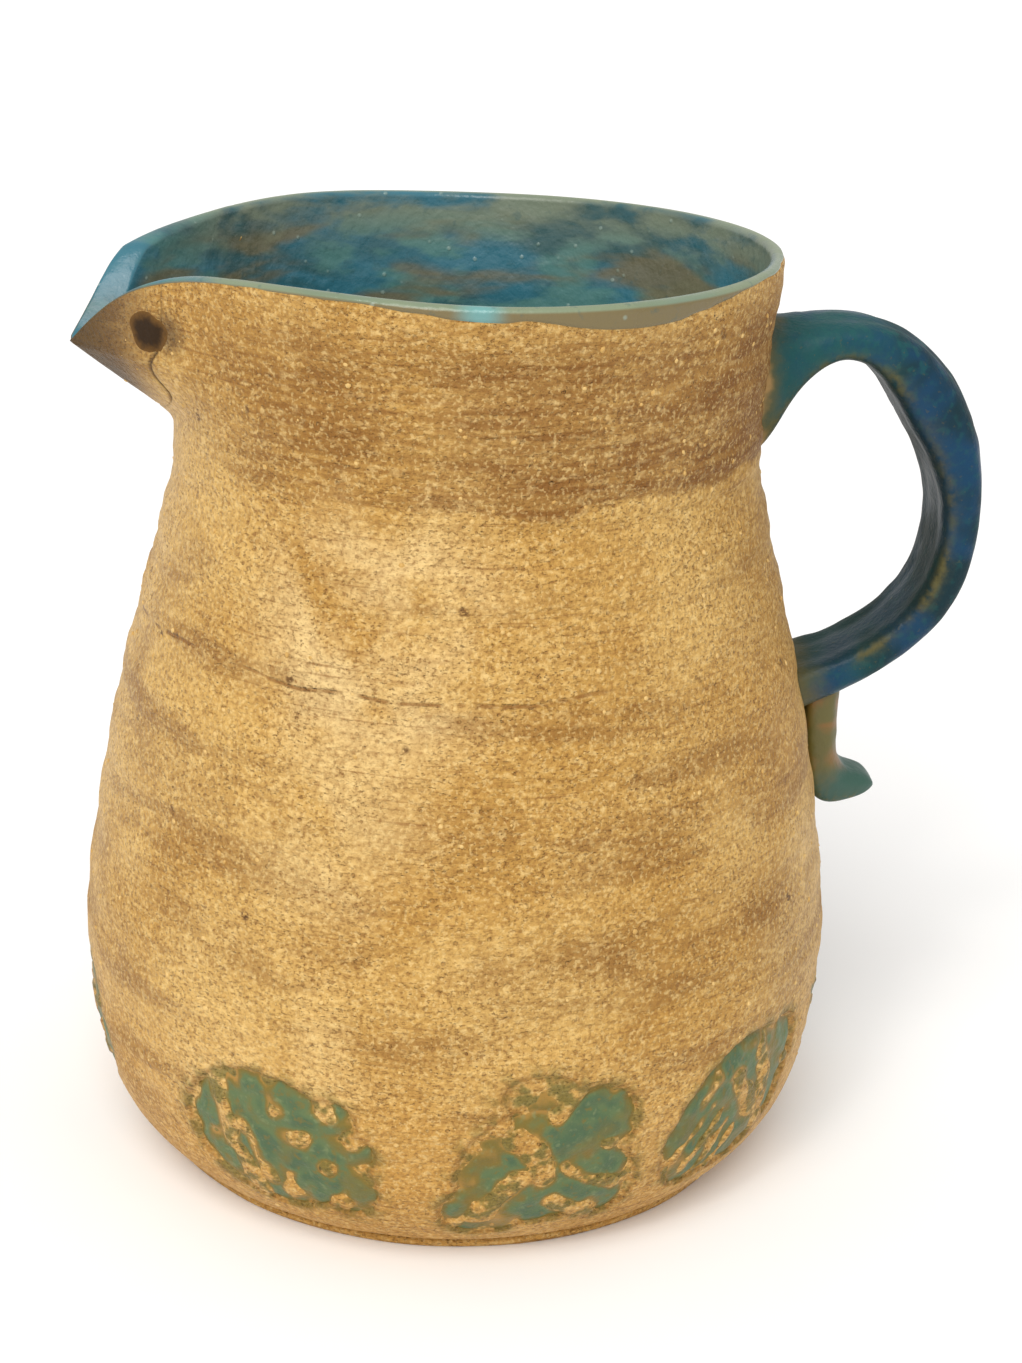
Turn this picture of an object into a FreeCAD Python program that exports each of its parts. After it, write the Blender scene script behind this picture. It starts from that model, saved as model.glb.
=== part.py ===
import FreeCAD, Part
import math
import os

import Sketcher
from FreeCAD import Placement, Rotation, Vector

# A handmade stoneware pitcher in millimetres. +Z is up, the origin is the centre of the foot on the
# table, the beak points to -X and the handle to +X. A slab base carries a thrown wall; a beak is luted
# into a notch of the rim, a pulled strap is luted on as the handle, and its tail runs down the wall.

PARTS_FOLDER = "parts"

# Driving dimensions: alias, value in millimetres (angles in degrees), what it is.
DIMENSIONS = [
    ("foot_radius", 63.5, "outer radius where the wall meets the table"),
    ("foot_level", 0, "height of the profile's first control point"),
    ("turn_radius", 69.5, "control radius of the turned-in foot"),
    ("turn_level", 6, "its height"),
    ("haunch_radius", 77.5, "control radius under the belly"),
    ("haunch_level", 14, "its height"),
    ("belly_radius", 80.5, "control radius of the belly"),
    ("belly_level", 47, "its height"),
    ("waist_radius", 78, "control radius above the belly"),
    ("waist_level", 62, "its height"),
    ("shoulder_radius", 73, "control radius of the shoulder"),
    ("shoulder_level", 98, "its height"),
    ("collar_radius", 58, "control radius under the neck"),
    ("collar_level", 148, "its height"),
    ("neck_radius", 59, "control radius of the neck"),
    ("neck_level", 158, "its height"),
    ("mouth_radius", 63.5, "control radius above the rim"),
    ("mouth_level", 200, "top of the turned blanks, above the rim"),
    ("wall", 5, "thickness of the thrown wall"),
    ("coat_inset", 5.6, "wall and inside glaze together"),
    ("slab_edge", 2.2, "height of the base slab's edge that shows under the wall"),
    ("slab_rebate_radius", 60, "radius of the raised floor that the wall is luted around"),
    ("floor_level", 6, "top of the clay floor"),
    ("throat_reach", 59.3, "reach of the keel where it leaves the neck"),
    ("throat_level", 154.8, "height of that point"),
    ("bore_level", 157, "height where the pouring channel leaves the neck"),
    ("keel_slope", 1.33, "reach of the keel gained per millimetre of height"),
    ("beak_tip_round", 5.4, "plan radius of the beak's nose"),
    ("beak_wall", 4.8, "thickness of the beak's flanks"),
    ("beak_keel_wall", 7.4, "level thickness of the clay at the keel"),
    ("beak_coat_inset", 5.4, "flank and glaze together"),
    ("keel_coat_inset", 8.2, "keel and glaze together, measured level"),
    ("floor_coat_level", 6.6, "top of the glaze on the floor"),
    ("beak_bore_round", 1.4, "plan radius of the pouring channel's bottom"),
    ("strap_width", 21, "width of the handle strap"),
    ("strap_round", 1.6, "rounding of the strap's edges"),
    ("tail_width", 18, "width of the tail under the handle"),
    ("tail_round", 1.6, "rounding of the tail's edges"),
    ("stamp_width", 42, "width of a pressed stamp round the foot"),
    ("stamp_height", 38, "height of a pressed stamp"),
    ("stamp_level", 28, "height of its centre"),
    ("stamp_depth", 1.3, "depth of the impression"),
    ("stamp_glaze_gap", 0.5, "how far the pooled glaze stays under the clay's face"),
    ("stamp_peg_length", 30, "length of the pegs that stand for the stamps"),
    ("beak_stamp_angle", -173, "angle from +X of the stamp under the beak"),
    ("first_stamp_angle", -119, "angle of the first stamp of the evenly spaced row"),
    ("stamp_pitch", 36, "angle from one stamp of that row to the next"),
    ("eye_radius", 4, "radius of an iron spot on the beak's flank"),
    ("eye_depth", 0.8, "how deep the iron spot sits in the clay"),
    ("eye_level", 177.5, "height of the iron spots"),
    ("eye_reach", 62.8, "how far towards the beak the spots sit"),
    ("eye_side", 26.4, "how far they sit from the middle plane"),
    ("eye_turn", 49, "angle of the flank's outward direction from -X"),
    ("eye_peg_length", 8, "length of the pegs that stand for the iron spots"),
    ("blank_radius", 90, "radius of discs that are wider than the pot"),
    ("cutter_width", 220, "width of cutters that are wider than the pot"),
]

STATIONS = ["foot", "turn", "haunch", "belly", "waist", "shoulder", "collar", "neck", "mouth"]
STAMP_COUNT = 9

# Heights at which the beak's plan outline is set, and the radius of the neck's core there.
BEAK_CORES = [58.3, 59.0, 60.2, 62.5]
BEAK_LEVELS = ["throat_level", 161.5, 171.0, 196.0]
BORE_LEVELS = ["bore_level"] + BEAK_LEVELS[1:]

# Side outlines (x, z) as spline control points, and the straight corners that close each one.
RIM_LINE = [(-92, 152), (-84, 163.5), (-78.5, 171.5), (-73, 178.5), (-65, 186), (-52, 190.4), (-30, 191.2),
            (0, 189.6), (35, 190.2), (95, 191)]
RIM_CORNERS = [(95, 230), (-120, 230), (-120, 152)]
SEAM_LINE = [(-62.5, 197), (-65.6, 182), (-66.4, 171.5), (-64.4, 165), (-60, 162.6), (-55, 161)]
SEAM_CORNERS = [(-55, 155), (-110, 155), (-110, 197)]
STRAP_OUTSIDE = [(56, 176.2), (70, 175.6), (86, 177.4), (101, 167), (108, 148), (107, 128), (103, 112),
                 (90, 102), (82, 98.5), (75, 95.5), (64, 91)]
STRAP_INSIDE = [(62, 101), (70, 103.6), (77, 106), (91, 112), (99.5, 124), (98.5, 140), (93.5, 153),
                (82, 167.5), (72, 166), (63.5, 161), (60, 151), (54, 148)]
STRAP_CORNERS = [(54, 150)]
TAIL_OUTSIDE = [(66, 99), (79, 99), (78.6, 91), (78.4, 85.5), (80.2, 81.8), (86.4, 80.6), (89.6, 77),
                (86.6, 73.4), (79, 71.6), (68, 72)]
TAIL_CORNERS = [(66, 74)]

# A long edge of a prism lies flat within this much, and further than this from the middle plane.
EDGE_FLATNESS = 0.01
EDGE_CLEARANCE = 1


def make_sheet(doc):
    """Fills the spreadsheet with the driving dimensions, one alias a row."""
    sheet = doc.addObject("Spreadsheet::Sheet", "sizes")
    for row, (alias, value, note) in enumerate(DIMENSIONS, start=1):
        sheet.set(f"A{row}", note)
        sheet.set(f"B{row}", str(value))
        sheet.setAlias(f"B{row}", alias)
    doc.recompute()
    return sheet


def make_body(doc, name):
    """A PartDesign body with its own label."""
    body = doc.addObject("PartDesign::Body", name)
    body.Label = name
    return body


def origin_plane(body, role):
    """One of the body's own origin planes."""
    for feature in body.Origin.OriginFeatures:
        if feature.Role == role:
            return feature
    raise ValueError(f"{body.Label} has no {role}")


def attach_sketch(body, name, role, level=None):
    """A sketch on an origin plane of the body, raised to a level if one is given."""
    sketch = body.newObject("Sketcher::SketchObject", name)
    sketch.AttachmentSupport = [(origin_plane(body, role), "")]
    sketch.MapMode = "FlatFace"
    if level is not None:
        sketch.setExpression("AttachmentOffset.Base.z", level)
    return sketch


def pin(sketch, geometry, point, x_value, y_value, x_rule=None, y_rule=None):
    """Fixes a sketch point by its two coordinates and binds each to its rule."""
    for axis, value, rule in (("DistanceX", x_value, x_rule), ("DistanceY", y_value, y_rule)):
        number = sketch.addConstraint(Sketcher.Constraint(axis, -1, 1, geometry, point, value))
        if rule:
            sketch.setExpression(f"Constraints[{number}]", rule)


def add_spline(sketch, poles, rules=None):
    """A cubic spline held by its control points, each pinned by its coordinates."""
    curve = Part.BSplineCurve()
    curve.buildFromPoles([Vector(x, y, 0) for x, y in poles])
    spline = sketch.addGeometry(curve, False)
    sketch.exposeInternalGeometry(spline)
    for index, (x, y) in enumerate(poles):
        x_rule, y_rule = rules[index] if rules else (None, None)
        pin(sketch, spline + 1 + index, 3, x, y, x_rule, y_rule)
    return spline


def close_outline(sketch, spline, corners):
    """Joins the spline's end to its start by straight lines over the given corners."""
    start, end = sketch.Geometry[spline].StartPoint, sketch.Geometry[spline].EndPoint
    points = [end] + [Vector(x, y, 0) for x, y in corners] + [start]
    lines = [sketch.addGeometry(Part.LineSegment(a, b), False) for a, b in zip(points, points[1:])]
    sketch.addConstraint(Sketcher.Constraint("Coincident", spline, 2, lines[0], 1))
    for line, following in zip(lines, lines[1:]):
        sketch.addConstraint(Sketcher.Constraint("Coincident", line, 2, following, 1))
    sketch.addConstraint(Sketcher.Constraint("Coincident", lines[-1], 2, spline, 1))
    for line, (x, y) in zip(lines, corners):
        pin(sketch, line, 2, x, y)


def turned_form(doc, sheet, name, inset=None):
    """A solid of revolution with the pitcher's profile, smaller by the inset."""
    body = make_body(doc, name)
    sketch = attach_sketch(body, name + "_profile", "XZ_Plane")
    less = sheet.get(inset) if inset else 0
    less_rule = f" - sizes.{inset}" if inset else ""
    poles = [(sheet.get(s + "_radius") - less, sheet.get(s + "_level")) for s in STATIONS]
    rules = [(f"sizes.{s}_radius{less_rule}", f"sizes.{s}_level") for s in STATIONS]
    spline = add_spline(sketch, poles, rules)
    close_outline(sketch, spline, [(0, poles[-1][1]), (0, poles[0][1])])
    turn = body.newObject("PartDesign::Revolution", name + "_turn")
    turn.Profile = sketch
    turn.ReferenceAxis = (sketch, ["V_Axis"])
    turn.Angle = 360
    return body


def beak_section(sheet, level, core, inset, keel_inset, nose):
    """Plan outline of the beak at one height: half-outline corners as values and as rules."""
    height = sheet.get(level) if isinstance(level, str) else level
    level_rule = f"sizes.{level}" if isinstance(level, str) else f"{level}"
    inset_value = sheet.get(inset) if inset else 0
    keel_value = sheet.get(keel_inset) if keel_inset else 0
    nose_value = sheet.get(nose)
    reach = sheet.get("throat_reach") + (height - sheet.get("throat_level")) * sheet.get("keel_slope")
    reach -= keel_value
    inner_core = core - inset_value
    slant = (inner_core - nose_value) / (reach - nose_value)
    across = math.sqrt(1 - slant ** 2)
    corners = [(inner_core * slant, inner_core * across),
               (reach - nose_value + nose_value * slant, nose_value * across)]
    reach_rule = f"(sizes.throat_reach + ({level_rule} - sizes.throat_level) * sizes.keel_slope"
    reach_rule += f" - sizes.{keel_inset})" if keel_inset else ")"
    core_rule = f"({core} - sizes.{inset})" if inset else f"{core}"
    nose_rule = f"sizes.{nose}"
    slant_rule = f"(({core_rule} - {nose_rule}) / ({reach_rule} - {nose_rule}))"
    across_rule = f"sqrt(1 - {slant_rule} ^ 2)"
    rules = [(f"{core_rule} * {slant_rule}", f"{core_rule} * {across_rule}"),
             (f"{reach_rule} - {nose_rule} + {nose_rule} * {slant_rule}", f"{nose_rule} * {across_rule}")]
    return level_rule, corners, rules, reach, f"{reach_rule} - {nose_rule}"


def beak_form(doc, sheet, name, inset=None, keel_inset=None, nose="beak_tip_round"):
    """A pointed wedge that grows forward with height, lofted through its plan outlines."""
    body = make_body(doc, name)
    sketches = []
    levels = BORE_LEVELS if inset else BEAK_LEVELS
    for index, (level, core) in enumerate(zip(levels, BEAK_CORES)):
        level_rule, corners, rules, reach, middle_rule = beak_section(sheet, level, core, inset,
                                                                      keel_inset, nose)
        sketch = attach_sketch(body, f"{name}_plan_{index}", "XY_Plane", level_rule)
        back, front = corners
        mirror_back, mirror_front = Vector(back[0], -back[1], 0), Vector(front[0], -front[1], 0)
        back, front = Vector(*back, 0), Vector(*front, 0)
        flank = sketch.addGeometry(Part.LineSegment(back, front), False)
        tip = sketch.addGeometry(Part.Arc(mirror_front, Vector(reach, 0, 0), front), False)
        other = sketch.addGeometry(Part.LineSegment(mirror_front, mirror_back), False)
        chord = sketch.addGeometry(Part.LineSegment(mirror_back, back), False)
        for first, first_end, second, second_end in ((flank, 2, tip, 2), (tip, 1, other, 1),
                                                     (other, 2, chord, 1), (chord, 2, flank, 1)):
            sketch.addConstraint(Sketcher.Constraint("Coincident", first, first_end, second, second_end))
        (back_x, back_y), (front_x, front_y) = rules
        pin(sketch, flank, 1, back.x, back.y, back_x, back_y)
        pin(sketch, flank, 2, front.x, front.y, front_x, front_y)
        pin(sketch, other, 1, mirror_front.x, mirror_front.y, front_x, f"-({front_y})")
        pin(sketch, other, 2, mirror_back.x, mirror_back.y, back_x, f"-({back_y})")
        middle = sketch.Geometry[tip].Center.x
        number = sketch.addConstraint(Sketcher.Constraint("DistanceX", -1, 1, tip, 3, middle))
        sketch.setExpression(f"Constraints[{number}]", middle_rule)
        sketches.append(sketch)
    doc.recompute()
    loft = body.newObject("PartDesign::AdditiveLoft", name + "_loft")
    loft.Profile = sketches[0]
    loft.Sections = sketches[1:]
    loft.Ruled = False
    body.Placement = Placement(Vector(0, 0, 0), Rotation(Vector(0, 0, 1), 180))
    return body


def side_prism(doc, name, outline, corners, width):
    """A prism across the middle plane whose side view is a spline closed by straight lines."""
    body = make_body(doc, name)
    sketch = attach_sketch(body, name + "_side", "XZ_Plane")
    spline = add_spline(sketch, outline)
    close_outline(sketch, spline, corners)
    pad = body.newObject("PartDesign::Pad", name + "_pad")
    pad.Profile = sketch
    pad.Midplane = True
    pad.setExpression("Length", f"sizes.{width}")
    return body, pad


def round_edges(doc, body, pad, radius, keep):
    """Rounds the long edges of a prism, chosen by a test on each edge."""
    doc.recompute()
    names = [f"Edge{i}" for i, edge in enumerate(pad.Shape.Edges, start=1) if keep(edge)]
    fillet = body.newObject("PartDesign::Fillet", body.Label + "_round")
    fillet.Base = (pad, names)
    fillet.setExpression("Radius", f"sizes.{radius}")
    return fillet


def boolean(doc, kind, name, first, second):
    """A Part boolean of two objects, kept under a plain name."""
    made = doc.addObject(f"Part::{kind}", name)
    made.Base = first
    made.Tool = second
    made.Label = name
    return made


def fuse_all(doc, name, shapes):
    """One object that joins several."""
    made = doc.addObject("Part::MultiFuse", name)
    made.Shapes = shapes
    made.Label = name
    return made


def make_slab(doc, outer):
    """The rolled slab that closes the foot, with a step that the wall is luted around."""
    edge = doc.addObject("Part::Cylinder", "slab_edge_blank")
    edge.setExpression("Radius", "sizes.blank_radius")
    edge.setExpression("Height", "sizes.slab_edge")
    raised = doc.addObject("Part::Cylinder", "slab_floor_blank")
    raised.setExpression("Radius", "sizes.slab_rebate_radius")
    raised.setExpression("Height", "sizes.floor_level")
    blank = fuse_all(doc, "slab_blank", [edge, raised])
    return boolean(doc, "Common", "base_slab", outer, blank)


def make_stamp_block(doc, sheet, index):
    """An oval peg that points at the foot, one for each stamp: the first under the beak, then the row."""
    body = make_body(doc, f"stamp_peg_{index}")
    sketch = attach_sketch(body, f"stamp_oval_{index}", "YZ_Plane", "sizes.foot_radius")
    level, width, height = (sheet.get(f"stamp_{size}") for size in ("level", "width", "height"))
    oval = sketch.addGeometry(Part.Ellipse(Vector(0, level, 0), width / 2, height / 2), False)
    sketch.exposeInternalGeometry(oval)
    pin(sketch, oval, 3, 0, level, None, "sizes.stamp_level")
    for line, rule, axis in ((1, "sizes.stamp_width", "DistanceX"), (2, "sizes.stamp_height", "DistanceY")):
        first, last = sketch.Geometry[line].StartPoint, sketch.Geometry[line].EndPoint
        span = (last.x - first.x) if axis == "DistanceX" else (last.y - first.y)
        ends = (1, 2) if span > 0 else (2, 1)
        number = sketch.addConstraint(Sketcher.Constraint(axis, line, ends[0], line, ends[1], abs(span)))
        sketch.setExpression(f"Constraints[{number}]", rule)
    sketch.addConstraint(Sketcher.Constraint("Horizontal", 1))
    pad = body.newObject("PartDesign::Pad", f"stamp_pad_{index}")
    pad.Profile = sketch
    pad.setExpression("Length", "sizes.stamp_peg_length")
    row_angle = f"sizes.first_stamp_angle + {index - 1} * sizes.stamp_pitch"
    angle = row_angle if index else "sizes.beak_stamp_angle"
    body.setExpression("Placement.Rotation.Angle", f"({angle}) * 1 deg")
    return body


def make_eye_peg(doc, sheet, name, side):
    """A short peg square to the beak's flank; side is -1 for the left flank and 1 for the right."""
    peg = doc.addObject("Part::Cylinder", name)
    peg.setExpression("Radius", "sizes.eye_radius")
    peg.setExpression("Height", "sizes.eye_peg_length")
    turn = Rotation(Vector(0, 0, 1), 180 - side * sheet.get("eye_turn"))
    peg.Placement = Placement(Vector(0, 0, 0), turn * Rotation(Vector(0, 1, 0), 90))
    turn_rule = "cos(sizes.eye_turn * 1 deg)"
    side_rule = "sin(sizes.eye_turn * 1 deg)"
    peg.setExpression("Placement.Base.x", f"-sizes.eye_reach + sizes.eye_depth * {turn_rule}")
    peg.setExpression("Placement.Base.y", f"{side} * (sizes.eye_side - sizes.eye_depth * {side_rule})")
    peg.setExpression("Placement.Base.z", "sizes.eye_level")
    return peg


def long_edge(edge):
    """True for an edge that lies along one side face of a prism."""
    ends = edge.BoundBox
    flat = ends.YLength < EDGE_FLATNESS and abs(ends.YMin) > EDGE_CLEARANCE
    return flat and isinstance(edge.Curve, Part.BSplineCurve)


def make_handle(doc, outer):
    """The pulled strap and the tail under it, both cut to the wall's curve."""
    strap_outline = STRAP_OUTSIDE + STRAP_INSIDE
    strap, strap_pad = side_prism(doc, "strap_blank", strap_outline, STRAP_CORNERS, "strap_width")
    round_edges(doc, strap, strap_pad, "strap_round", long_edge)
    tail, tail_pad = side_prism(doc, "tail_blank", TAIL_OUTSIDE, TAIL_CORNERS, "tail_width")
    round_edges(doc, tail, tail_pad, "tail_round", long_edge)
    handle = boolean(doc, "Cut", "handle_strap", strap, outer)
    tail_on_wall = boolean(doc, "Cut", "tail_on_wall", tail, outer)
    return handle, boolean(doc, "Cut", "handle_tail", tail_on_wall, strap)


def floor_plug(doc, name, level):
    """A disc that keeps the hollow above the floor."""
    plug = doc.addObject("Part::Cylinder", name)
    plug.setExpression("Radius", "sizes.blank_radius")
    plug.setExpression("Height", f"sizes.{level}")
    return plug


def build(doc):
    """Makes every sub-part and returns the objects that are written."""
    sheet = make_sheet(doc)
    outer = turned_form(doc, sheet, "outer_form")
    cavity = turned_form(doc, sheet, "cavity_form", "wall")
    coat = turned_form(doc, sheet, "coat_form", "coat_inset")
    press = turned_form(doc, sheet, "press_form", "stamp_depth")
    pool = turned_form(doc, sheet, "pool_form", "stamp_glaze_gap")
    beak = beak_form(doc, sheet, "beak_form")
    bore = beak_form(doc, sheet, "bore_form", "beak_wall", "beak_keel_wall", "beak_bore_round")
    bore_coat = beak_form(doc, sheet, "bore_coat_form", "beak_coat_inset", "keel_coat_inset",
                          "beak_bore_round")
    rim_cutter, _ = side_prism(doc, "rim_cutter", RIM_LINE, RIM_CORNERS, "cutter_width")
    seam_block, _ = side_prism(doc, "seam_block", SEAM_LINE, SEAM_CORNERS, "cutter_width")

    outside = fuse_all(doc, "outside_form", [outer, beak])
    hollow = boolean(doc, "Cut", "hollow_form", fuse_all(doc, "open_form", [cavity, bore]),
                     floor_plug(doc, "floor_plug", "floor_level"))
    coated = boolean(doc, "Cut", "coated_form", fuse_all(doc, "open_coat_form", [coat, bore_coat]),
                     floor_plug(doc, "coat_plug", "floor_coat_level"))
    shell = boolean(doc, "Cut", "shell", boolean(doc, "Cut", "thick_shell", outside, hollow), rim_cutter)
    coat_block = boolean(doc, "Cut", "coat_block", hollow, coated)
    liner = boolean(doc, "Cut", "liner_glaze", coat_block, rim_cutter)

    slab = make_slab(doc, outer)
    pegs = [make_stamp_block(doc, sheet, index) for index in range(STAMP_COUNT)]
    eyes = [make_eye_peg(doc, sheet, f"eye_peg_{name}", side) for name, side in (("left", -1), ("right", 1))]
    all_pegs = fuse_all(doc, "stamp_pegs", pegs)
    impressions = boolean(doc, "Cut", "impressions", all_pegs, press)
    recesses = fuse_all(doc, "recesses", [impressions] + eyes)

    spout_raw = boolean(doc, "Common", "spout_raw", shell, seam_block)
    spout = boolean(doc, "Cut", "spout", spout_raw, fuse_all(doc, "eye_pegs", eyes))
    wall_raw = boolean(doc, "Cut", "wall_raw", shell, seam_block)
    wall_on_slab = boolean(doc, "Cut", "wall_on_slab", wall_raw, slab)
    wall = boolean(doc, "Cut", "body_wall", wall_on_slab, recesses)
    handle, tail = make_handle(doc, outer)

    parts = [slab, wall, spout, liner, handle, tail]
    for index, peg in enumerate(pegs):
        pooled = boolean(doc, "Common", f"stamp_pool_{index}", peg, pool)
        parts.append(boolean(doc, "Cut", f"stamp_glaze_{index + 1}", pooled, press))
    for peg, name in zip(eyes, ("left", "right")):
        parts.append(boolean(doc, "Common", f"eye_spot_{name}", peg, outside))
    return parts


def check(doc, parts):
    """Stops with a plain message if anything in the document failed."""
    failed = [o.Label for o in doc.Objects if "Invalid" in o.State or "Error" in o.State]
    if failed:
        raise RuntimeError(f"failed objects: {failed}")
    for part in parts:
        if part.Shape.isNull() or not part.Shape.isValid() or not part.Shape.Solids:
            raise RuntimeError(f"{part.Label} has no valid solid")


def main():
    """Builds the document and writes one STEP file for each sub-part."""
    doc = FreeCAD.newDocument("pitcher")
    parts = build(doc)
    doc.recompute()
    check(doc, parts)
    os.makedirs(PARTS_FOLDER, exist_ok=True)
    for part in parts:
        part.Shape.exportStep(os.path.join(PARTS_FOLDER, part.Label + ".step"))
        print(f"{part.Label}: {len(part.Shape.Solids)} solid, {part.Shape.Volume:.0f} mm3")


main()
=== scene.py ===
"""A handmade stoneware pitcher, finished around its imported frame.

Lengths inside the classes are millimetres, as a potter would say them, and become metres where a
mesh is made. The beak points to -X, the handle to +X. Turns round the pot (phi) are measured in
radians from the beak, growing towards the near side (-Y).
"""

import logging
import math
from collections.abc import Callable
from dataclasses import dataclass, field
from enum import Enum

import bmesh
import bpy
import numpy as np
from mathutils import Matrix, Vector


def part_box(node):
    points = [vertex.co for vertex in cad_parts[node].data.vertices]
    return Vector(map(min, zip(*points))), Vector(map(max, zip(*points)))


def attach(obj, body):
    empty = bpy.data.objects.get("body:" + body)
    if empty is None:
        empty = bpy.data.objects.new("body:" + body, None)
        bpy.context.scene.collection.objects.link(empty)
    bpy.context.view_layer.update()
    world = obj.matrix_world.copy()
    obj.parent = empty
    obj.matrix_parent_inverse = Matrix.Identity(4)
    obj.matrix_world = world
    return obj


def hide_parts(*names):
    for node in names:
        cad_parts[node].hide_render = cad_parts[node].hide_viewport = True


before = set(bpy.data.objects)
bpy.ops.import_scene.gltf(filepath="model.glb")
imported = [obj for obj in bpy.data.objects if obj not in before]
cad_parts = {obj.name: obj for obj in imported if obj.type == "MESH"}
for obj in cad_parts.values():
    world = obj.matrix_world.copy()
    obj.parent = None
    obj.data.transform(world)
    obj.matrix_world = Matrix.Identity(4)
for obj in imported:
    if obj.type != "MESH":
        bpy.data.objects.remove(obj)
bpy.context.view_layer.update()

LOG = logging.getLogger("pitcher")
MM = 0.001


# ---------------------------------------------------------------- plain geometry helpers

def spline_points(poles: np.ndarray, count: int = 400) -> np.ndarray:
    """Samples a clamped uniform cubic spline.

    Args:
        poles: control points, one a row.
        count: how many samples.

    Returns:
        The samples, one a row.
    """
    poles = np.asarray(poles, dtype=float)
    spans = len(poles) - 3
    knots = np.concatenate([np.zeros(3), np.linspace(0, spans, spans + 1), np.full(3, spans)])
    u = np.linspace(0, spans, count)
    first = np.clip(np.floor(u).astype(int), 0, spans - 1) + 3
    layers = [poles[first - 3 + i] for i in range(4)]
    for level in range(1, 4):
        for i in range(3, level - 1, -1):
            low = knots[first - 3 + i]
            high = knots[first + 1 + i - level]
            share = ((u - low) / (high - low))[:, None]
            layers[i] = (1 - share) * layers[i - 1] + share * layers[i]
    return layers[3]


def lattice_noise(points: np.ndarray, cell: float, seed: int) -> np.ndarray:
    """Smooth noise from -1 to 1 at each point.

    Args:
        points: positions, one a row.
        cell: size of one lump of the noise.
        seed: picks the pattern.

    Returns:
        One value a point.
    """
    size = 32
    table = np.random.default_rng(seed).uniform(-1, 1, (size, size, size))
    place = np.asarray(points) / cell + 1000.0
    base = np.floor(place).astype(int)
    part = place - base
    part = part * part * (3 - 2 * part)
    total = np.zeros(place.shape[:-1])
    for corner in range(8):
        step = np.array([corner & 1, corner >> 1 & 1, corner >> 2 & 1])
        weight = np.prod(np.where(step, part, 1 - part), axis=-1)
        index = (base + step) % size
        total += weight * table[index[..., 0], index[..., 1], index[..., 2]]
    return total


def smooth_step(low: float, high: float, value: np.ndarray) -> np.ndarray:
    """Rises from 0 to 1 as the value goes from low to high."""
    part = np.clip((value - low) / (high - low), 0, 1)
    return part * part * (3 - 2 * part)


def wrapped(turn: np.ndarray) -> np.ndarray:
    """The same turn between half a turn back and half a turn on."""
    return (turn + math.pi) % (2 * math.pi) - math.pi


def settled(start: np.ndarray, rounds: int, rule: Callable[[np.ndarray], np.ndarray]) -> np.ndarray:
    """Heights that agree with a rule, reached half-way at a time.

    Args:
        start: the first guess.
        rounds: how many times to step.
        rule: gives the wanted height for each present one.

    Returns:
        The settled heights.
    """
    level = start
    for _ in range(rounds):
        level = 0.5 * level + 0.5 * rule(level)
    return level


def linked(made: bpy.types.Object) -> bpy.types.Object:
    """Puts an object into the scene and hands it back."""
    bpy.context.scene.collection.objects.link(made)
    return made


def smooth_max(a: np.ndarray, b: np.ndarray, blend: float) -> np.ndarray:
    """The larger of two, with the crease between them blended."""
    return 0.5 * (a + b + np.sqrt((a - b) ** 2 + blend ** 2))


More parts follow.
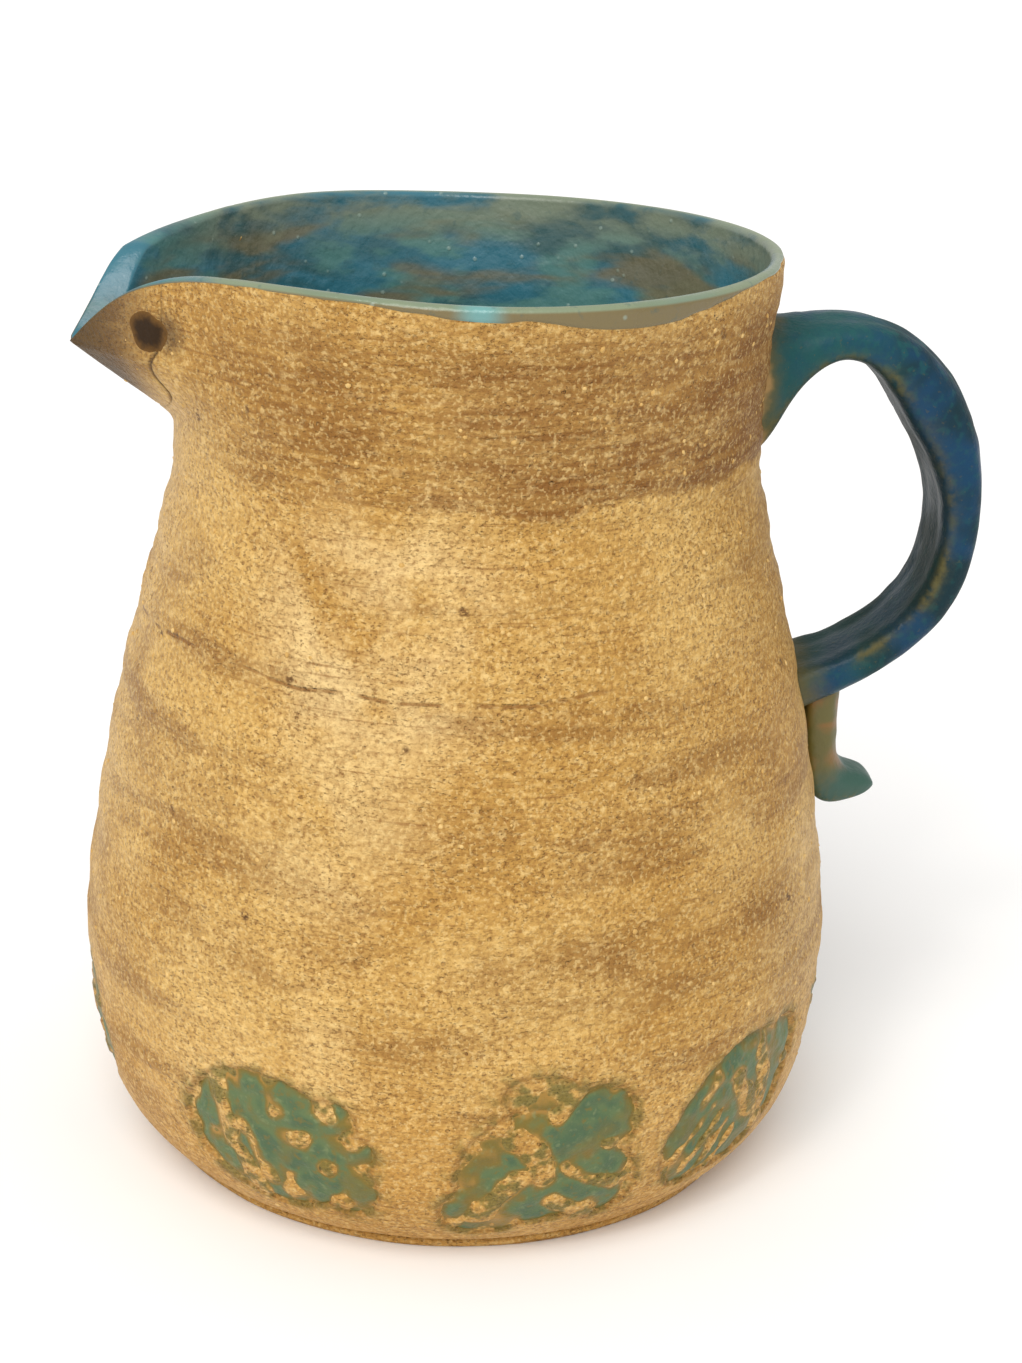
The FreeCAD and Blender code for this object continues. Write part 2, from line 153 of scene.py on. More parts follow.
class MeshBuilder:
    """Collects vertices and faces in millimetres and makes one closed mesh object."""

    def __init__(self) -> None:
        self.points: list[np.ndarray] = []
        self.faces: list[tuple[int, ...]] = []
        self.tints: dict[str, list[np.ndarray]] = {}
        self.count = 0

    def add(self, points: np.ndarray, **tints: np.ndarray) -> np.ndarray:
        """Adds points and gives back their numbers in the same grid shape.

        Args:
            points: an array whose last axis is x, y, z.
            tints: values to keep with the points, by name.

        Returns:
            The vertex numbers.
        """
        shape = points.shape[:-1]
        total = int(np.prod(shape))
        numbers = np.arange(self.count, self.count + total).reshape(shape)
        self.points.append(points.reshape(-1, 3))
        for name in set(self.tints) | set(tints):
            known = self.tints.setdefault(name, [np.zeros(self.count)])
            value = tints.get(name)
            known.append(np.zeros(total) if value is None else np.broadcast_to(value, shape).reshape(-1))
        self.count += total
        return numbers

    def grid(self, numbers: np.ndarray, closed: bool = False) -> None:
        """Adds the quads of a grid of vertices, joined end to end where it is closed."""
        left = numbers if closed else numbers[:, :-1]
        right = np.roll(numbers, -1, axis=1) if closed else numbers[:, 1:]
        quads = np.stack([left[:-1], right[:-1], right[1:], left[1:]], axis=-1).reshape(-1, 4)
        self.faces.extend(map(tuple, quads.tolist()))

    def join(self, fine: np.ndarray, coarse: np.ndarray, fine_below: bool = True) -> None:
        """Joins two closed rings whose point counts are a whole multiple of each other."""
        ratio = len(fine) // len(coarse)
        for k, corner in enumerate(coarse):
            run = [int(fine[(k * ratio + i) % len(fine)]) for i in range(ratio + 1)]
            ring = run + [int(coarse[(k + 1) % len(coarse)]), int(corner)]
            self.faces.append(tuple(ring if fine_below else reversed(ring)))

    def fan(self, ring: np.ndarray, middle: int) -> None:
        """Closes a ring with triangles to one vertex."""
        following = np.roll(ring, -1)
        self.faces.extend((int(a), int(b), middle) for a, b in zip(ring, following))

    def edge(self, outer: list[int], lip: list[int], inner: list[int], turned: bool) -> None:
        """Closes a skin from its outer side to its inner side, and over the lip at their ends."""
        faces = [[outer[k], outer[k + 1], inner[k + 1], inner[k]] for k in range(len(outer) - 1)]
        faces.append([outer[-1]] + lip + [inner[-1]])
        self.faces.extend(tuple(reversed(face)) if turned else tuple(face) for face in faces)

    def build(self, name: str) -> bpy.types.Object:
        """Makes the object, with its tints as vertex attributes."""
        mesh = bpy.data.meshes.new(name)
        points = np.concatenate(self.points) * MM
        mesh.from_pydata(points.tolist(), [], self.faces)
        mesh.validate()
        for label, values in self.tints.items():
            layer = mesh.attributes.new(label, "FLOAT", "POINT")
            layer.data.foreach_set("value", np.concatenate(values).astype(np.float32))
        mesh.polygons.foreach_set("use_smooth", [True] * len(mesh.polygons))
        mesh.update()
        return linked(bpy.data.objects.new(name, mesh))


def ground(phi: np.ndarray, radius: np.ndarray, level: np.ndarray) -> np.ndarray:
    """Points at a turn from the beak, a radius and a height."""
    phi, radius, level = np.broadcast_arrays(phi, radius, level)
    return np.stack([-radius * np.cos(phi), -radius * np.sin(phi), level], axis=-1)


# ---------------------------------------------------------------- the form of the pot

@dataclass(frozen=True)
class PotForm:
    """The thrown form with its beak: every outer and inner surface follows from it."""

    radii: tuple[float, ...] = (63.5, 69.5, 77.5, 80.5, 78, 73, 58, 59, 63.5)
    levels: tuple[float, ...] = (0, 6, 14, 47, 62, 98, 148, 158, 200)
    wall: float = 5.0
    slab_edge: float = 2.2
    rebate_radius: float = 60.0
    floor_level: float = 6.0
    throat_level: float = 154.8
    throat_reach: float = 59.3
    keel_slope: float = 1.33
    longest: float = 79.55
    far_lift: float = 4.6
    lift_fade: float = 9.5
    lift_span: tuple[float, float, float, float] = (-1.0, -0.25, -0.20, -0.01)
    least_beak: float = 0.6
    outer_blend: float = 0.7
    inner_blend: float = 1.6
    nose_round: float = 5.4
    flank_wall: float = 4.8
    keel_wall: float = 7.4
    bore_round: float = 1.4
    mouth_thinning: float = 1.7
    thinned_from: float = 160.0
    thinned_to: float = 188.0
    highest: float = 191.4
    core_levels: tuple[float, ...] = (154.8, 161.5, 171.0, 196.0)
    cores: tuple[float, ...] = (58.3, 59.0, 60.2, 62.5)
    rim_line: tuple[tuple[float, float], ...] = (
        (-92, 152), (-84, 163.5), (-78.5, 171.5), (-73, 178.5), (-65, 186), (-52, 190.4), (-30, 191.2),
        (0, 189.6), (35, 190.2), (95, 191))
    seam_start: float = 157.0
    seam_turns: tuple[tuple[float, float], ...] = (
        (157.0, 0), (158.2, 7), (160.2, 13.2), (163.1, 17), (165.1, 16), (167.4, 15.2), (171.1, 17.8),
        (174.2, 19.8), (182.0, 21.3), (200.0, 22))

    def neck(self, level: np.ndarray) -> np.ndarray:
        """Radius of the thrown wall at a height."""
        curve = spline_points(np.stack([self.levels, self.radii], axis=-1))
        return np.interp(level, curve[:, 0], curve[:, 1])

    def hull(self, phi: np.ndarray, level: np.ndarray, inset: float, keel_inset: float,
             nose: float) -> np.ndarray:
        """Radius of the beak's pointed plan outline, 0 where there is no beak."""
        turn = np.abs(wrapped(phi))
        core = np.interp(level, self.core_levels, self.cores) - inset
        reach = self.throat_reach + (level - self.throat_level) * self.keel_slope
        reach = np.minimum(reach, self.longest) - keel_inset
        real = reach > core + self.least_beak
        reach = np.where(real, reach, core + self.least_beak)
        slant = (core - nose) / (reach - nose)
        across = np.sqrt(1 - slant ** 2)
        square = np.arctan2(across, slant)
        corner = np.arctan2(nose * across, reach - nose + nose * slant)
        middle = reach - nose
        tip = middle * np.cos(turn) + np.sqrt(np.clip(nose ** 2 - (middle * np.sin(turn)) ** 2, 0, None))
        flank = core / np.cos(np.clip(square - turn, 0, 1.5))
        plan = np.where(turn < corner, tip, flank)
        return np.where(real & (turn < square), plan, 0)

    def outer(self, phi: np.ndarray, level: np.ndarray) -> np.ndarray:
        """Radius of the outside, beak included."""
        return smooth_max(self.neck(level), self.hull(phi, level, 0, 0, self.nose_round), self.outer_blend)

    def inner(self, phi: np.ndarray, level: np.ndarray) -> np.ndarray:
        """Radius of the clay's inside, beak included."""
        bore = self.hull(phi, level, self.flank_wall, self.keel_wall, self.bore_round)
        return smooth_max(self.neck(level) - self.wall, bore, self.inner_blend) + self.thinned(level)

    def thinned(self, level: np.ndarray) -> np.ndarray:
        """How much thinner the wall has become at a height, towards its mouth."""
        return self.mouth_thinning * smooth_step(self.thinned_from, self.thinned_to, level)

    def rim(self, phi: np.ndarray) -> np.ndarray:
        """Height of the rim in each direction."""
        line = spline_points(np.array(self.rim_line))
        level = settled(np.full(np.shape(phi), 188.0), 12, lambda height: np.interp(
            -self.outer(phi, height) * np.cos(phi), line[:, 0], line[:, 1]))
        turn = wrapped(phi)
        begins, full, still_full, ends = self.lift_span
        lift = self.far_lift * smooth_step(ends, still_full, turn) * smooth_step(begins, full, turn)
        return level + lift * np.clip((self.highest - level) / self.lift_fade, 0, 1)

    def seam(self, level: np.ndarray) -> np.ndarray:
        """Turn from the beak's middle to the seam of the luted beak at a height."""
        curve = spline_points(np.array(self.seam_turns))
        return np.radians(np.interp(level, curve[:, 0], curve[:, 1]))


FORM = PotForm()


@dataclass(frozen=True)
class Stroke:
    """One soft ridge of a stamp, from one point to another, in millimetres on the wall."""

    start: tuple[float, float]
    end: tuple[float, float]
    width: float
    height: float


@dataclass(frozen=True)
class Stamp:
    """A hand-pressed medallion: the outline as overlapping blobs, and the relief inside it.

    Blobs are (across, up, half width, half height, lean in degrees).
    """

    blobs: tuple[tuple[float, float, float, float, float], ...]
    strokes: tuple[Stroke, ...]
    depth: float = 1.3

    def inside(self, across: np.ndarray, up: np.ndarray) -> np.ndarray:
        """Millimetres from the outline, positive inside it."""
        inside = np.full(np.shape(across), -9.0)
        for x, y, half_width, half_height, lean in self.blobs:
            c, s = math.cos(math.radians(lean)), math.sin(math.radians(lean))
            u = ((across - x) * c + (up - y) * s) / half_width
            v = (-(across - x) * s + (up - y) * c) / half_height
            inside = np.maximum(inside, (1 - np.hypot(u, v)) * min(half_width, half_height))
        return inside

    def press(self, across: np.ndarray, up: np.ndarray) -> np.ndarray:
        """How firmly each point is pressed in, from 0 outside to 1."""
        return smooth_step(-0.45, 0.75, self.inside(across, up))

    def floor(self, across: np.ndarray, up: np.ndarray) -> np.ndarray:
        """Height of the clay inside the stamp above its deepest floor."""
        rise = np.zeros(np.shape(across))
        for stroke in self.strokes:
            (ax, ay), (bx, by) = stroke.start, stroke.end
            run = np.array([bx - ax, by - ay])
            span = max(float(run @ run), 1e-6)
            along = np.clip(((across - ax) * run[0] + (up - ay) * run[1]) / span, 0, 1)
            away = np.hypot(across - ax - along * run[0], up - ay - along * run[1])
            rise = np.maximum(rise, stroke.height * np.exp(-(away / stroke.width) ** 4))
        return rise


def line_of(points: list[tuple[float, float]], width: float, height: float) -> tuple[Stroke, ...]:
    """Strokes that join a few points one after another."""
    return tuple(Stroke(a, b, width, height) for a, b in zip(points, points[1:]))


def dots_of(points: list[tuple[float, float]], width: float, height: float) -> tuple[Stroke, ...]:
    """Round bumps at the given points."""
    return tuple(Stroke(point, point, width, height) for point in points)


class Impression(Enum):
    """The few different stamps that the potter pressed round the foot."""

    SHELL = Stamp(
        blobs=((-5.5, -2.5, 19, 16.5, -14), (8.5, 6.0, 5.6, 5.2, 0), (12.5, -0.5, 5.2, 5.0, 0),
               (12.0, -10, 6.0, 8.0, 0), (-17, -1, 8, 8.5, 30)),
        strokes=line_of([(-16.4, 9), (-14.6, 0), (-11.6, -8), (-8.6, -16)], 2.4, 1.25)
        + line_of([(-4.4, 12), (-2.6, 6)], 2.2, 1.05)
        + line_of([(-11, 1.5), (-7.4, -5), (-5.8, -12)], 2.0, 1.1)
        + dots_of([(2.4, 0.4), (7.6, -4.8), (-1.2, -14), (9.8, -14.6), (8.0, 8.6), (13.2, 2.6)], 2.5, 1.2)
        + line_of([(-20.5, -13), (-17, -17)], 2.6, 1.1))
    WHEEL = Stamp(
        blobs=((1.5, -3.5, 17.5, 15.5, 12), (-9.5, -14, 9.5, 9.0, 20), (14, -10, 8.5, 10, 0),
               (1.5, 13.5, 8.5, 5.0, -12), (12, 6, 9.0, 9.0, -30)),
        strokes=line_of([(-3.4, 4.2), (0.6, 0), (2.2, -4.4)], 3.2, 1.25)
        + line_of([(-2.2, -4.6), (-8.0, -10.6), (-12, -16)], 2.3, 1.2)
        + line_of([(6.0, -3.4), (11, -6.6), (17.2, -9.6)], 1.7, 1.15)
        + line_of([(4.0, -12), (9, -15.6), (13.6, -18)], 2.2, 1.2)
        + line_of([(8.0, 14.2), (3.6, 8.4)], 1.6, 1.1)
        + line_of([(-4.4, 15.6), (4.2, 14.6)], 3.4, 0.7)
        + dots_of([(-6.4, 7.8), (15.0, 1.2), (-15.4, -18.5)], 1.8, 1.1))
    COMB = Stamp(
        blobs=((0, -1, 19.5, 15.5, 20), (13, 4, 7.5, 10, -10), (-13, -8, 7.5, 10, 20)),
        strokes=sum((line_of([(-17 + 3.4 * k, -8.6 - 3.6 * k), (-8.6 + 3.0 * k, 1.6 - 3.0 * k)], 1.0, 1.0)
                     for k in range(4)), ())
        + line_of([(-2.4, 7.0), (4.0, -2.0), (14.0, -14.0)], 2.6, 1.15)
        + line_of([(5.6, 9.5), (9.4, 0.8), (10.4, -5.0)], 2.2, 1.05)
        + line_of([(-8.2, 8.2), (-11.8, 3.0)], 2.0, 0.8)
        + dots_of([(17.4, 2.0), (0.8, 3.2)], 2.0, 1.1))
    LEAF = Stamp(
        blobs=((0, -2, 14, 17, 0), (-9, 3, 7.5, 8, 0), (9, -3, 7.5, 8.5, 0)),
        strokes=line_of([(0, 13), (1.2, 2), (-0.4, -16)], 1.9, 1.2)
        + sum((line_of([(0.6, 6 - 5.2 * k), (9.6, 11.5 - 5.8 * k)], 1.5, 1.0)
               + line_of([(0.2, 6 - 5.2 * k), (-9.4, 9.8 - 5.4 * k)], 1.5, 1.0) for k in range(4)), ()))


@dataclass(frozen=True)
class StampRow:
    """The stamps round the foot, one under the beak and then the row: where each sits and which it is."""

    beak_turn: float = math.radians(7.0)
    first_turn: float = math.radians(61.0)
    pitch: float = math.radians(36.0)
    level: float = 28.0
    order: tuple[Impression, ...] = (
        Impression.LEAF, Impression.SHELL, Impression.WHEEL, Impression.COMB, Impression.LEAF,
        Impression.SHELL, Impression.WHEEL, Impression.COMB, Impression.SHELL)
    scale_radius: float = 78.0

    def turns(self) -> list[float]:
        """Turn of each stamp's centre from the beak."""
        return [self.beak_turn] + [self.first_turn + step * self.pitch for step in range(len(self.order) - 1)]

    def local(self, index: int, phi: np.ndarray, level: np.ndarray) -> tuple[np.ndarray, np.ndarray]:
        """Millimetres across and up from a stamp's centre, measured on the wall."""
        away = wrapped(phi - self.turns()[index])
        return away * self.scale_radius, self.climb(level) - self.climb(np.array(self.level))

    def climb(self, level: np.ndarray) -> np.ndarray:
        """Distance up the wall from the table, along its curve."""
        heights = np.linspace(0, 80, 321)
        steps = np.hypot(np.diff(heights), np.diff(FORM.neck(heights)))
        return np.interp(level, heights, np.concatenate([[0], np.cumsum(steps)]))

    def level_at(self, climb: np.ndarray) -> np.ndarray:
        """Height of a place given by its distance up the wall."""
        heights = np.linspace(0, 80, 321)
        return np.interp(climb, self.climb(heights), heights)


STAMPS = StampRow()


@dataclass(frozen=True)
class Skin:
    """The hand marks on the outside of the clay, in millimetres of added radius."""

    taken_off: float = 0.45
    widest: float = 79.2
    ring_depth: float = 0.16
    wobble: float = 0.35
    dent: float = 0.10
    seam_depth: float = 0.5
    seam_width: float = 0.75
    collar_level: float = 153.5
    collar_step: float = 0.30
    noise_radius: float = 70.0
    ring_pitch: float = 4.6
    broad_pitch: float = 15.0
    wobble_size: float = 46.0
    dent_sizes: tuple[float, float] = (9.0, 4.2)
    scratch_level: float = 118.0
    scratch_turn: float = 0.62
    scratch_half: float = 0.30
    scratch_depth: float = 0.18
    belly_top: float = 120.0
    foot_round: float = 0.9
    foot_reach: float = 0.8
    tip_turn: float = 0.22

    def rings(self, phi: np.ndarray, level: np.ndarray) -> np.ndarray:
        """Throwing rings that climb slightly round the pot."""
        climb = level + 1.1 * np.cos(phi + 0.6) + 0.5 * np.sin(2 * phi)
        strength = 0.55 + 0.45 * np.sin(level / 17.0 + np.cos(phi))
        fine = np.sin(climb * 2 * math.pi / self.ring_pitch + 1.5 * np.sin(climb / 9.0))
        broad = np.sin(climb * 2 * math.pi / self.broad_pitch + 0.8)
        return self.ring_depth * (strength * fine + 1.4 * broad) * smooth_step(14, 44, level)

    def outside(self, phi: np.ndarray, level: np.ndarray) -> np.ndarray:
        """All hand marks except the stamps."""
        place = ground(phi, self.noise_radius, level)
        flow = place * np.array([1, 1, 2.4])
        marks = self.wobble * lattice_noise(place, self.wobble_size, 3) * smooth_step(2, 30, level)
        large, small = self.dent_sizes
        marks = marks + self.dent * (lattice_noise(flow, large, 5) + 0.6 * lattice_noise(flow, small, 6))
        marks = marks + self.rings(phi, level)
        collar = level - self.collar_level - 1.6 * np.cos(phi - 1.2)
        marks = marks + self.collar_step * smooth_step(-1.2, 0.9, collar) * smooth_step(16, 4, collar)
        drop = np.abs(level - self.scratch_level + 2.2 * np.sin(phi * 9))
        scratch = (np.abs(phi - self.scratch_turn) < self.scratch_half) * np.exp(-(drop / 0.7) ** 2)
        spared = 1 - 0.9 * self.at_tip(phi) * smooth_step(160, 167, level)
        marks = (marks - self.scratch_depth * scratch - self.taken_off) * spared
        marks = np.where(level < self.belly_top, np.minimum(marks, self.widest - FORM.neck(level)), marks)
        return marks - self.foot(level) - self.seam(phi, level)

    def at_tip(self, phi: np.ndarray) -> np.ndarray:
        """How near a direction is to the beak's tip, from 0 to 1."""
        turn = wrapped(phi)
        return np.exp(-(turn / self.tip_turn) ** 2)

    def foot(self, level: np.ndarray) -> np.ndarray:
        """How far the wall's lowest edge is rounded back over the slab."""
        return self.foot_round * np.exp(-((level - FORM.slab_edge) / self.foot_reach) ** 2)

    def seam(self, phi: np.ndarray, level: np.ndarray) -> np.ndarray:
        """The fine groove where the beak is luted on, deepest at its lower turn."""
        turn = np.abs(wrapped(phi))
        away = (turn - FORM.seam(level)) * FORM.neck(level)
        fade = smooth_step(160.0, 162.2, level) * smooth_step(186, 174, level)
        return self.seam_depth * np.exp(-(away / self.seam_width) ** 2) * fade

    def crack(self, phi: np.ndarray, level: np.ndarray) -> np.ndarray:
        """Tint of the dark line along the seam, from 0 to 1."""
        return np.clip(self.seam(phi, level) / self.seam_depth, 0, 1) ** 3

    def stamped(self, phi: np.ndarray, level: np.ndarray) -> tuple[np.ndarray, ...]:
        """Depth of the stamps and how near each point is to one.

        Args:
            phi: turns from the beak.
            level: heights.

        Returns:
            The depth in millimetres, a tint inside the stamps and painted shade along their outlines, 0 to 1.
        """
        depth = np.zeros(np.shape(phi))
        tint = np.zeros(np.shape(phi))
        brink = np.zeros(np.shape(phi))
        for index, impression in enumerate(STAMPS.order):
            across, up = STAMPS.local(index, phi, level)
            stamp = impression.value
            press = stamp.press(across, up)
            broken = np.clip(stamp.floor(across, up) + self.crumble(phi, level), 0, stamp.depth)
            depth = np.maximum(depth, press * (stamp.depth - broken))
            inside = stamp.inside(across, up)
            tint = np.maximum(tint, smooth_step(-4.0, 2.0, inside))
            # Painted shade: a dark line along each stamp's outline.
            brink = np.maximum(brink, np.exp(-(inside / 0.6) ** 2))
        return depth, tint, brink

    def crumble(self, phi: np.ndarray, level: np.ndarray) -> np.ndarray:
        """Small lumps that the stamp leaves between its ridges."""
        place = ground(phi, STAMPS.scale_radius, level)
        return 0.60 * lattice_noise(place, 4.8, 44) + 0.50 * lattice_noise(place, 2.5, 45) + 0.10


SKIN = Skin()


def outside_point(phi: np.ndarray, level: np.ndarray, lift: float = 0.0) -> np.ndarray:
    """A point on the finished outside of the clay, stamps left out."""
    return ground(phi, FORM.outer(phi, level) + SKIN.outside(phi, level) + lift, level)


# ---------------------------------------------------------------- the clay pieces

@dataclass
class Wall:
    """The thrown wall: outside, lip and inside as one closed skin with a notch for the beak."""

    columns: int = 320
    foot_rows: int = 70
    upper_rows: int = 72
    beak_rows: int = 26
    lip_rows: int = 7
    inner_rows: int = 12
    foot_top: float = 58.0
    foot_gap: float = 0.8
    inner_gap: float = 2.0
    tip_thinning: float = 0.88
    tip_glaze: float = 0.85
    roundness: float = 0.8
    lip_height: float = 1.35
    glaze_room: float = 0.45
    crowd: float = 0.35

    def turns(self, count: int) -> np.ndarray:
        """Turns of the columns, closer together at the beak; the last closes the ring."""
        even = np.linspace(0, 2 * math.pi, count + 1)
        return even - self.crowd * np.sin(even)

    def notched(self, level: np.ndarray, share: np.ndarray) -> np.ndarray:
        """Turn of a column at a height, pushed aside by the beak's notch."""
        seam = FORM.seam(level)
        return seam + (2 * math.pi - 2 * seam) * share

    def crown(self, share: np.ndarray) -> np.ndarray:
        """Height where the outside ends and the lip begins, for each column."""
        return settled(np.full(np.shape(share), 186.0), 10,
                       lambda level: self.below_rim(self.notched(level, share)))

    def below_rim(self, phi: np.ndarray) -> np.ndarray:
        """Height where the lip starts to round over, in each direction."""
        return FORM.rim(phi) - self.lip_rise(phi) - self.glaze_room * (1 - self.tip_glaze * SKIN.at_tip(phi))

    def lip_rise(self, phi: np.ndarray) -> np.ndarray:
        """Height of the rounded lip, less at the beak's thin tip."""
        return self.lip_height * (1 - self.tip_thinning * SKIN.at_tip(phi))

    def upper_levels(self, crown: np.ndarray) -> np.ndarray:
        """Heights of the upper rows, one row of the result for each."""
        low = np.linspace(self.foot_top + self.foot_gap, FORM.seam_start, self.upper_rows)
        rise = np.linspace(0, 1, self.beak_rows)[1:]
        high = FORM.seam_start + rise[:, None] * (crown[None, :] - FORM.seam_start)
        return np.concatenate([np.repeat(low[:, None], len(crown), axis=1), high])

    def lip(self, phi: np.ndarray, crown: np.ndarray) -> np.ndarray:
        """Points over the rounded lip, one row of the result for each."""
        outer = FORM.outer(phi, crown) + SKIN.outside(phi, crown)
        inner = FORM.inner(phi, crown)
        rows = []
        for step in np.linspace(0, math.pi, self.lip_rows + 2)[1:-1]:
            radius = 0.5 * (outer + inner) + 0.5 * (outer - inner) * math.cos(step)
            rows.append(ground(phi, radius, crown + self.lip_rise(phi) * math.sin(step) ** self.roundness))
        return np.stack(rows)

    def number_rows(self, builder: MeshBuilder, points: np.ndarray, levels: np.ndarray) -> list[np.ndarray]:
        """Adds rows of points, each closed into a ring where it lies under the notch."""
        numbers = []
        for row, level in zip(points, levels):
            if np.max(level) <= FORM.seam_start:
                made = builder.add(row[:-1])
                numbers.append(np.append(made, made[0]))
            else:
                phi = np.arctan2(-row[:, 1], -row[:, 0])
                numbers.append(builder.add(row, crack=SKIN.crack(phi, level)))
        return numbers

    def build(self) -> bpy.types.Object:
        """Makes the wall."""
        builder = MeshBuilder()
        foot_turns = self.turns(2 * self.columns)[:-1]
        climbs = np.linspace(STAMPS.climb(np.array(FORM.slab_edge)), STAMPS.climb(np.array(self.foot_top)),
                             self.foot_rows)
        phi, level = np.meshgrid(foot_turns, STAMPS.level_at(climbs))
        depth, tint, brink = SKIN.stamped(phi, level)
        radius = FORM.neck(level) + SKIN.outside(phi, level) - depth
        foot = builder.add(ground(phi, radius, level), pressed=tint, brink=brink)
        builder.grid(foot, closed=True)

        share = self.turns(self.columns) / (2 * math.pi)
        crown = self.crown(share)
        levels = self.upper_levels(crown)
        phi = self.notched(levels, share[None, :])
        outside = self.number_rows(builder, outside_point(phi, levels), levels)
        builder.join(foot[-1], outside[0][:-1])

        lip_phi = self.notched(crown, share)
        lip = [builder.add(row) for row in self.lip(lip_phi, crown)]
        open_rows = self.beak_rows - 1
        high = levels[-open_rows:][::-1]
        steps = np.linspace(FORM.seam_start, FORM.floor_level + self.inner_gap, self.inner_rows)
        low = np.repeat(steps[:, None], len(share), axis=1)
        inner_levels = np.concatenate([high, low])
        inner_phi = self.notched(inner_levels, share[None, :])
        inner_points = ground(inner_phi, FORM.inner(inner_phi, inner_levels), inner_levels)
        inside = self.number_rows(builder, inner_points, inner_levels)
        builder.grid(np.stack(outside + lip + inside))

        self.seat(builder, foot[0], inside[-1][:-1], share[:-1])
        for column, turned in ((0, False), (-1, True)):
            self.notch_side(builder, outside, lip, inside, column, turned)
        return builder.build("body_wall_clay")

    def seat(self, builder: MeshBuilder, outer_ring: np.ndarray, inner_ring: np.ndarray,
             share: np.ndarray) -> None:
        """Closes the wall under its inside, where it sits round the slab's raised floor."""
        phi = share * 2 * math.pi
        step = builder.add(ground(phi, FORM.rebate_radius, FORM.floor_level))
        corner = builder.add(ground(phi, FORM.rebate_radius, FORM.slab_edge))
        rings = np.stack([inner_ring, step, corner])
        builder.grid(rings, closed=True)
        builder.join(outer_ring, corner, fine_below=False)

    def notch_side(self, builder: MeshBuilder, outside: list[np.ndarray], lip: list[np.ndarray],
                   inside: list[np.ndarray], column: int, turned: bool) -> None:
        """Closes one side of the notch through the thickness of the wall."""
        count = self.beak_rows
        outer_side = [int(row[column]) for row in outside[-count:]]
        inner_side = [int(row[column]) for row in inside[:count]][::-1]
        builder.edge(outer_side, [int(row[column]) for row in lip], inner_side, turned)


@dataclass
class Beak:
    """The pouring beak, luted into the notch along the seam."""

    columns: int = 46
    wall: Wall = field(default_factory=Wall)

    def build(self) -> bpy.types.Object:
        """Makes the beak as a closed skin that starts at a point on the keel."""
        builder = MeshBuilder()
        share = np.linspace(-1, 1, self.columns + 1)
        crown = settled(np.full(share.shape, 172.0), 20,
                        lambda level: self.wall.below_rim(FORM.seam(level) * share))
        rise = np.linspace(0, 1, self.wall.beak_rows)[1:]
        levels = FORM.seam_start + rise[:, None] * (crown[None, :] - FORM.seam_start)
        phi = FORM.seam(levels) * share[None, :]
        start = np.array([FORM.seam_start])
        keel = builder.add(outside_point(np.zeros(1), start))
        outside = builder.add(outside_point(phi, levels), crack=SKIN.crack(phi, levels))
        lip_phi = FORM.seam(crown) * share
        lip = builder.add(self.wall.lip(lip_phi, crown))
        inside = builder.add(ground(phi[::-1], FORM.inner(phi[::-1], levels[::-1]), levels[::-1]))
        bore = builder.add(ground(np.zeros(1), FORM.inner(np.zeros(1), start), start))
        builder.grid(np.concatenate([outside, lip, inside]))
        first, last = outside[0], inside[-1]
        for k in range(self.columns):
            builder.faces.append((int(keel[0]), int(first[k + 1]), int(first[k])))
            builder.faces.append((int(bore[0]), int(last[k]), int(last[k + 1])))
        for column, turned in ((0, False), (-1, True)):
            self.side(builder, outside, lip, inside, keel, bore, column, turned)
        return builder.build("spout_clay")

    def side(self, builder: MeshBuilder, outside: np.ndarray, lip: np.ndarray, inside: np.ndarray,
             keel: np.ndarray, bore: np.ndarray, column: int, turned: bool) -> None:
        """Closes the beak along one branch of the seam."""
        outer_side = [int(keel[0])] + [int(n) for n in outside[:, column]]
        inner_side = [int(bore[0])] + [int(n) for n in inside[::-1, column]]
        builder.edge(outer_side, [int(n) for n in lip[:, column]], inner_side, turned)


@dataclass
class Slab:
    """The turned disc that the wall was built on, with its raised floor inside."""

    columns: int = 240
    edge_round: float = 0.9

    def profile(self) -> list[tuple[float, float]]:
        """Radius and height of the section, from the middle of the underside to the middle of the top."""
        rim = FORM.neck(np.array(1.2)) - SKIN.taken_off
        low = [(2.0, 0.35), (18.0, 0.3), (36.0, 0.2), (52.0, 0.06), (60.5, 0.0)]
        edge = [(rim - self.edge_round, 0.0), (rim - 0.25, 0.25), (rim, 0.9), (rim - 0.05, 1.6),
                (rim - 0.7, 2.1), (rim - 2.0, FORM.slab_edge)]
        raised = [(FORM.rebate_radius, FORM.slab_edge), (FORM.rebate_radius, FORM.floor_level),
                  (30.0, FORM.floor_level), (2.0, FORM.floor_level)]
        return low + edge + raised

    def build(self) -> bpy.types.Object:
        """Makes the slab."""
        builder = MeshBuilder()
        phi = np.linspace(0, 2 * math.pi, self.columns, endpoint=False)
        rows = []
        for radius, level in self.profile():
            wander = 0.25 * lattice_noise(ground(phi, 66.0, 0.0), 14, 21)
            shift = wander if 0 < level < FORM.slab_edge else 0.0
            rows.append(builder.add(ground(phi, radius + shift, level)))
        builder.grid(np.stack(rows), closed=True)
        under = builder.add(np.array([[0, 0, 0.35]]))
        top = builder.add(np.array([[0, 0, FORM.floor_level]]))
        builder.fan(rows[0][::-1], int(under[0]))
        builder.fan(rows[-1], int(top[0]))
        return builder.build("base_slab_clay")


# ---------------------------------------------------------------- the glazes

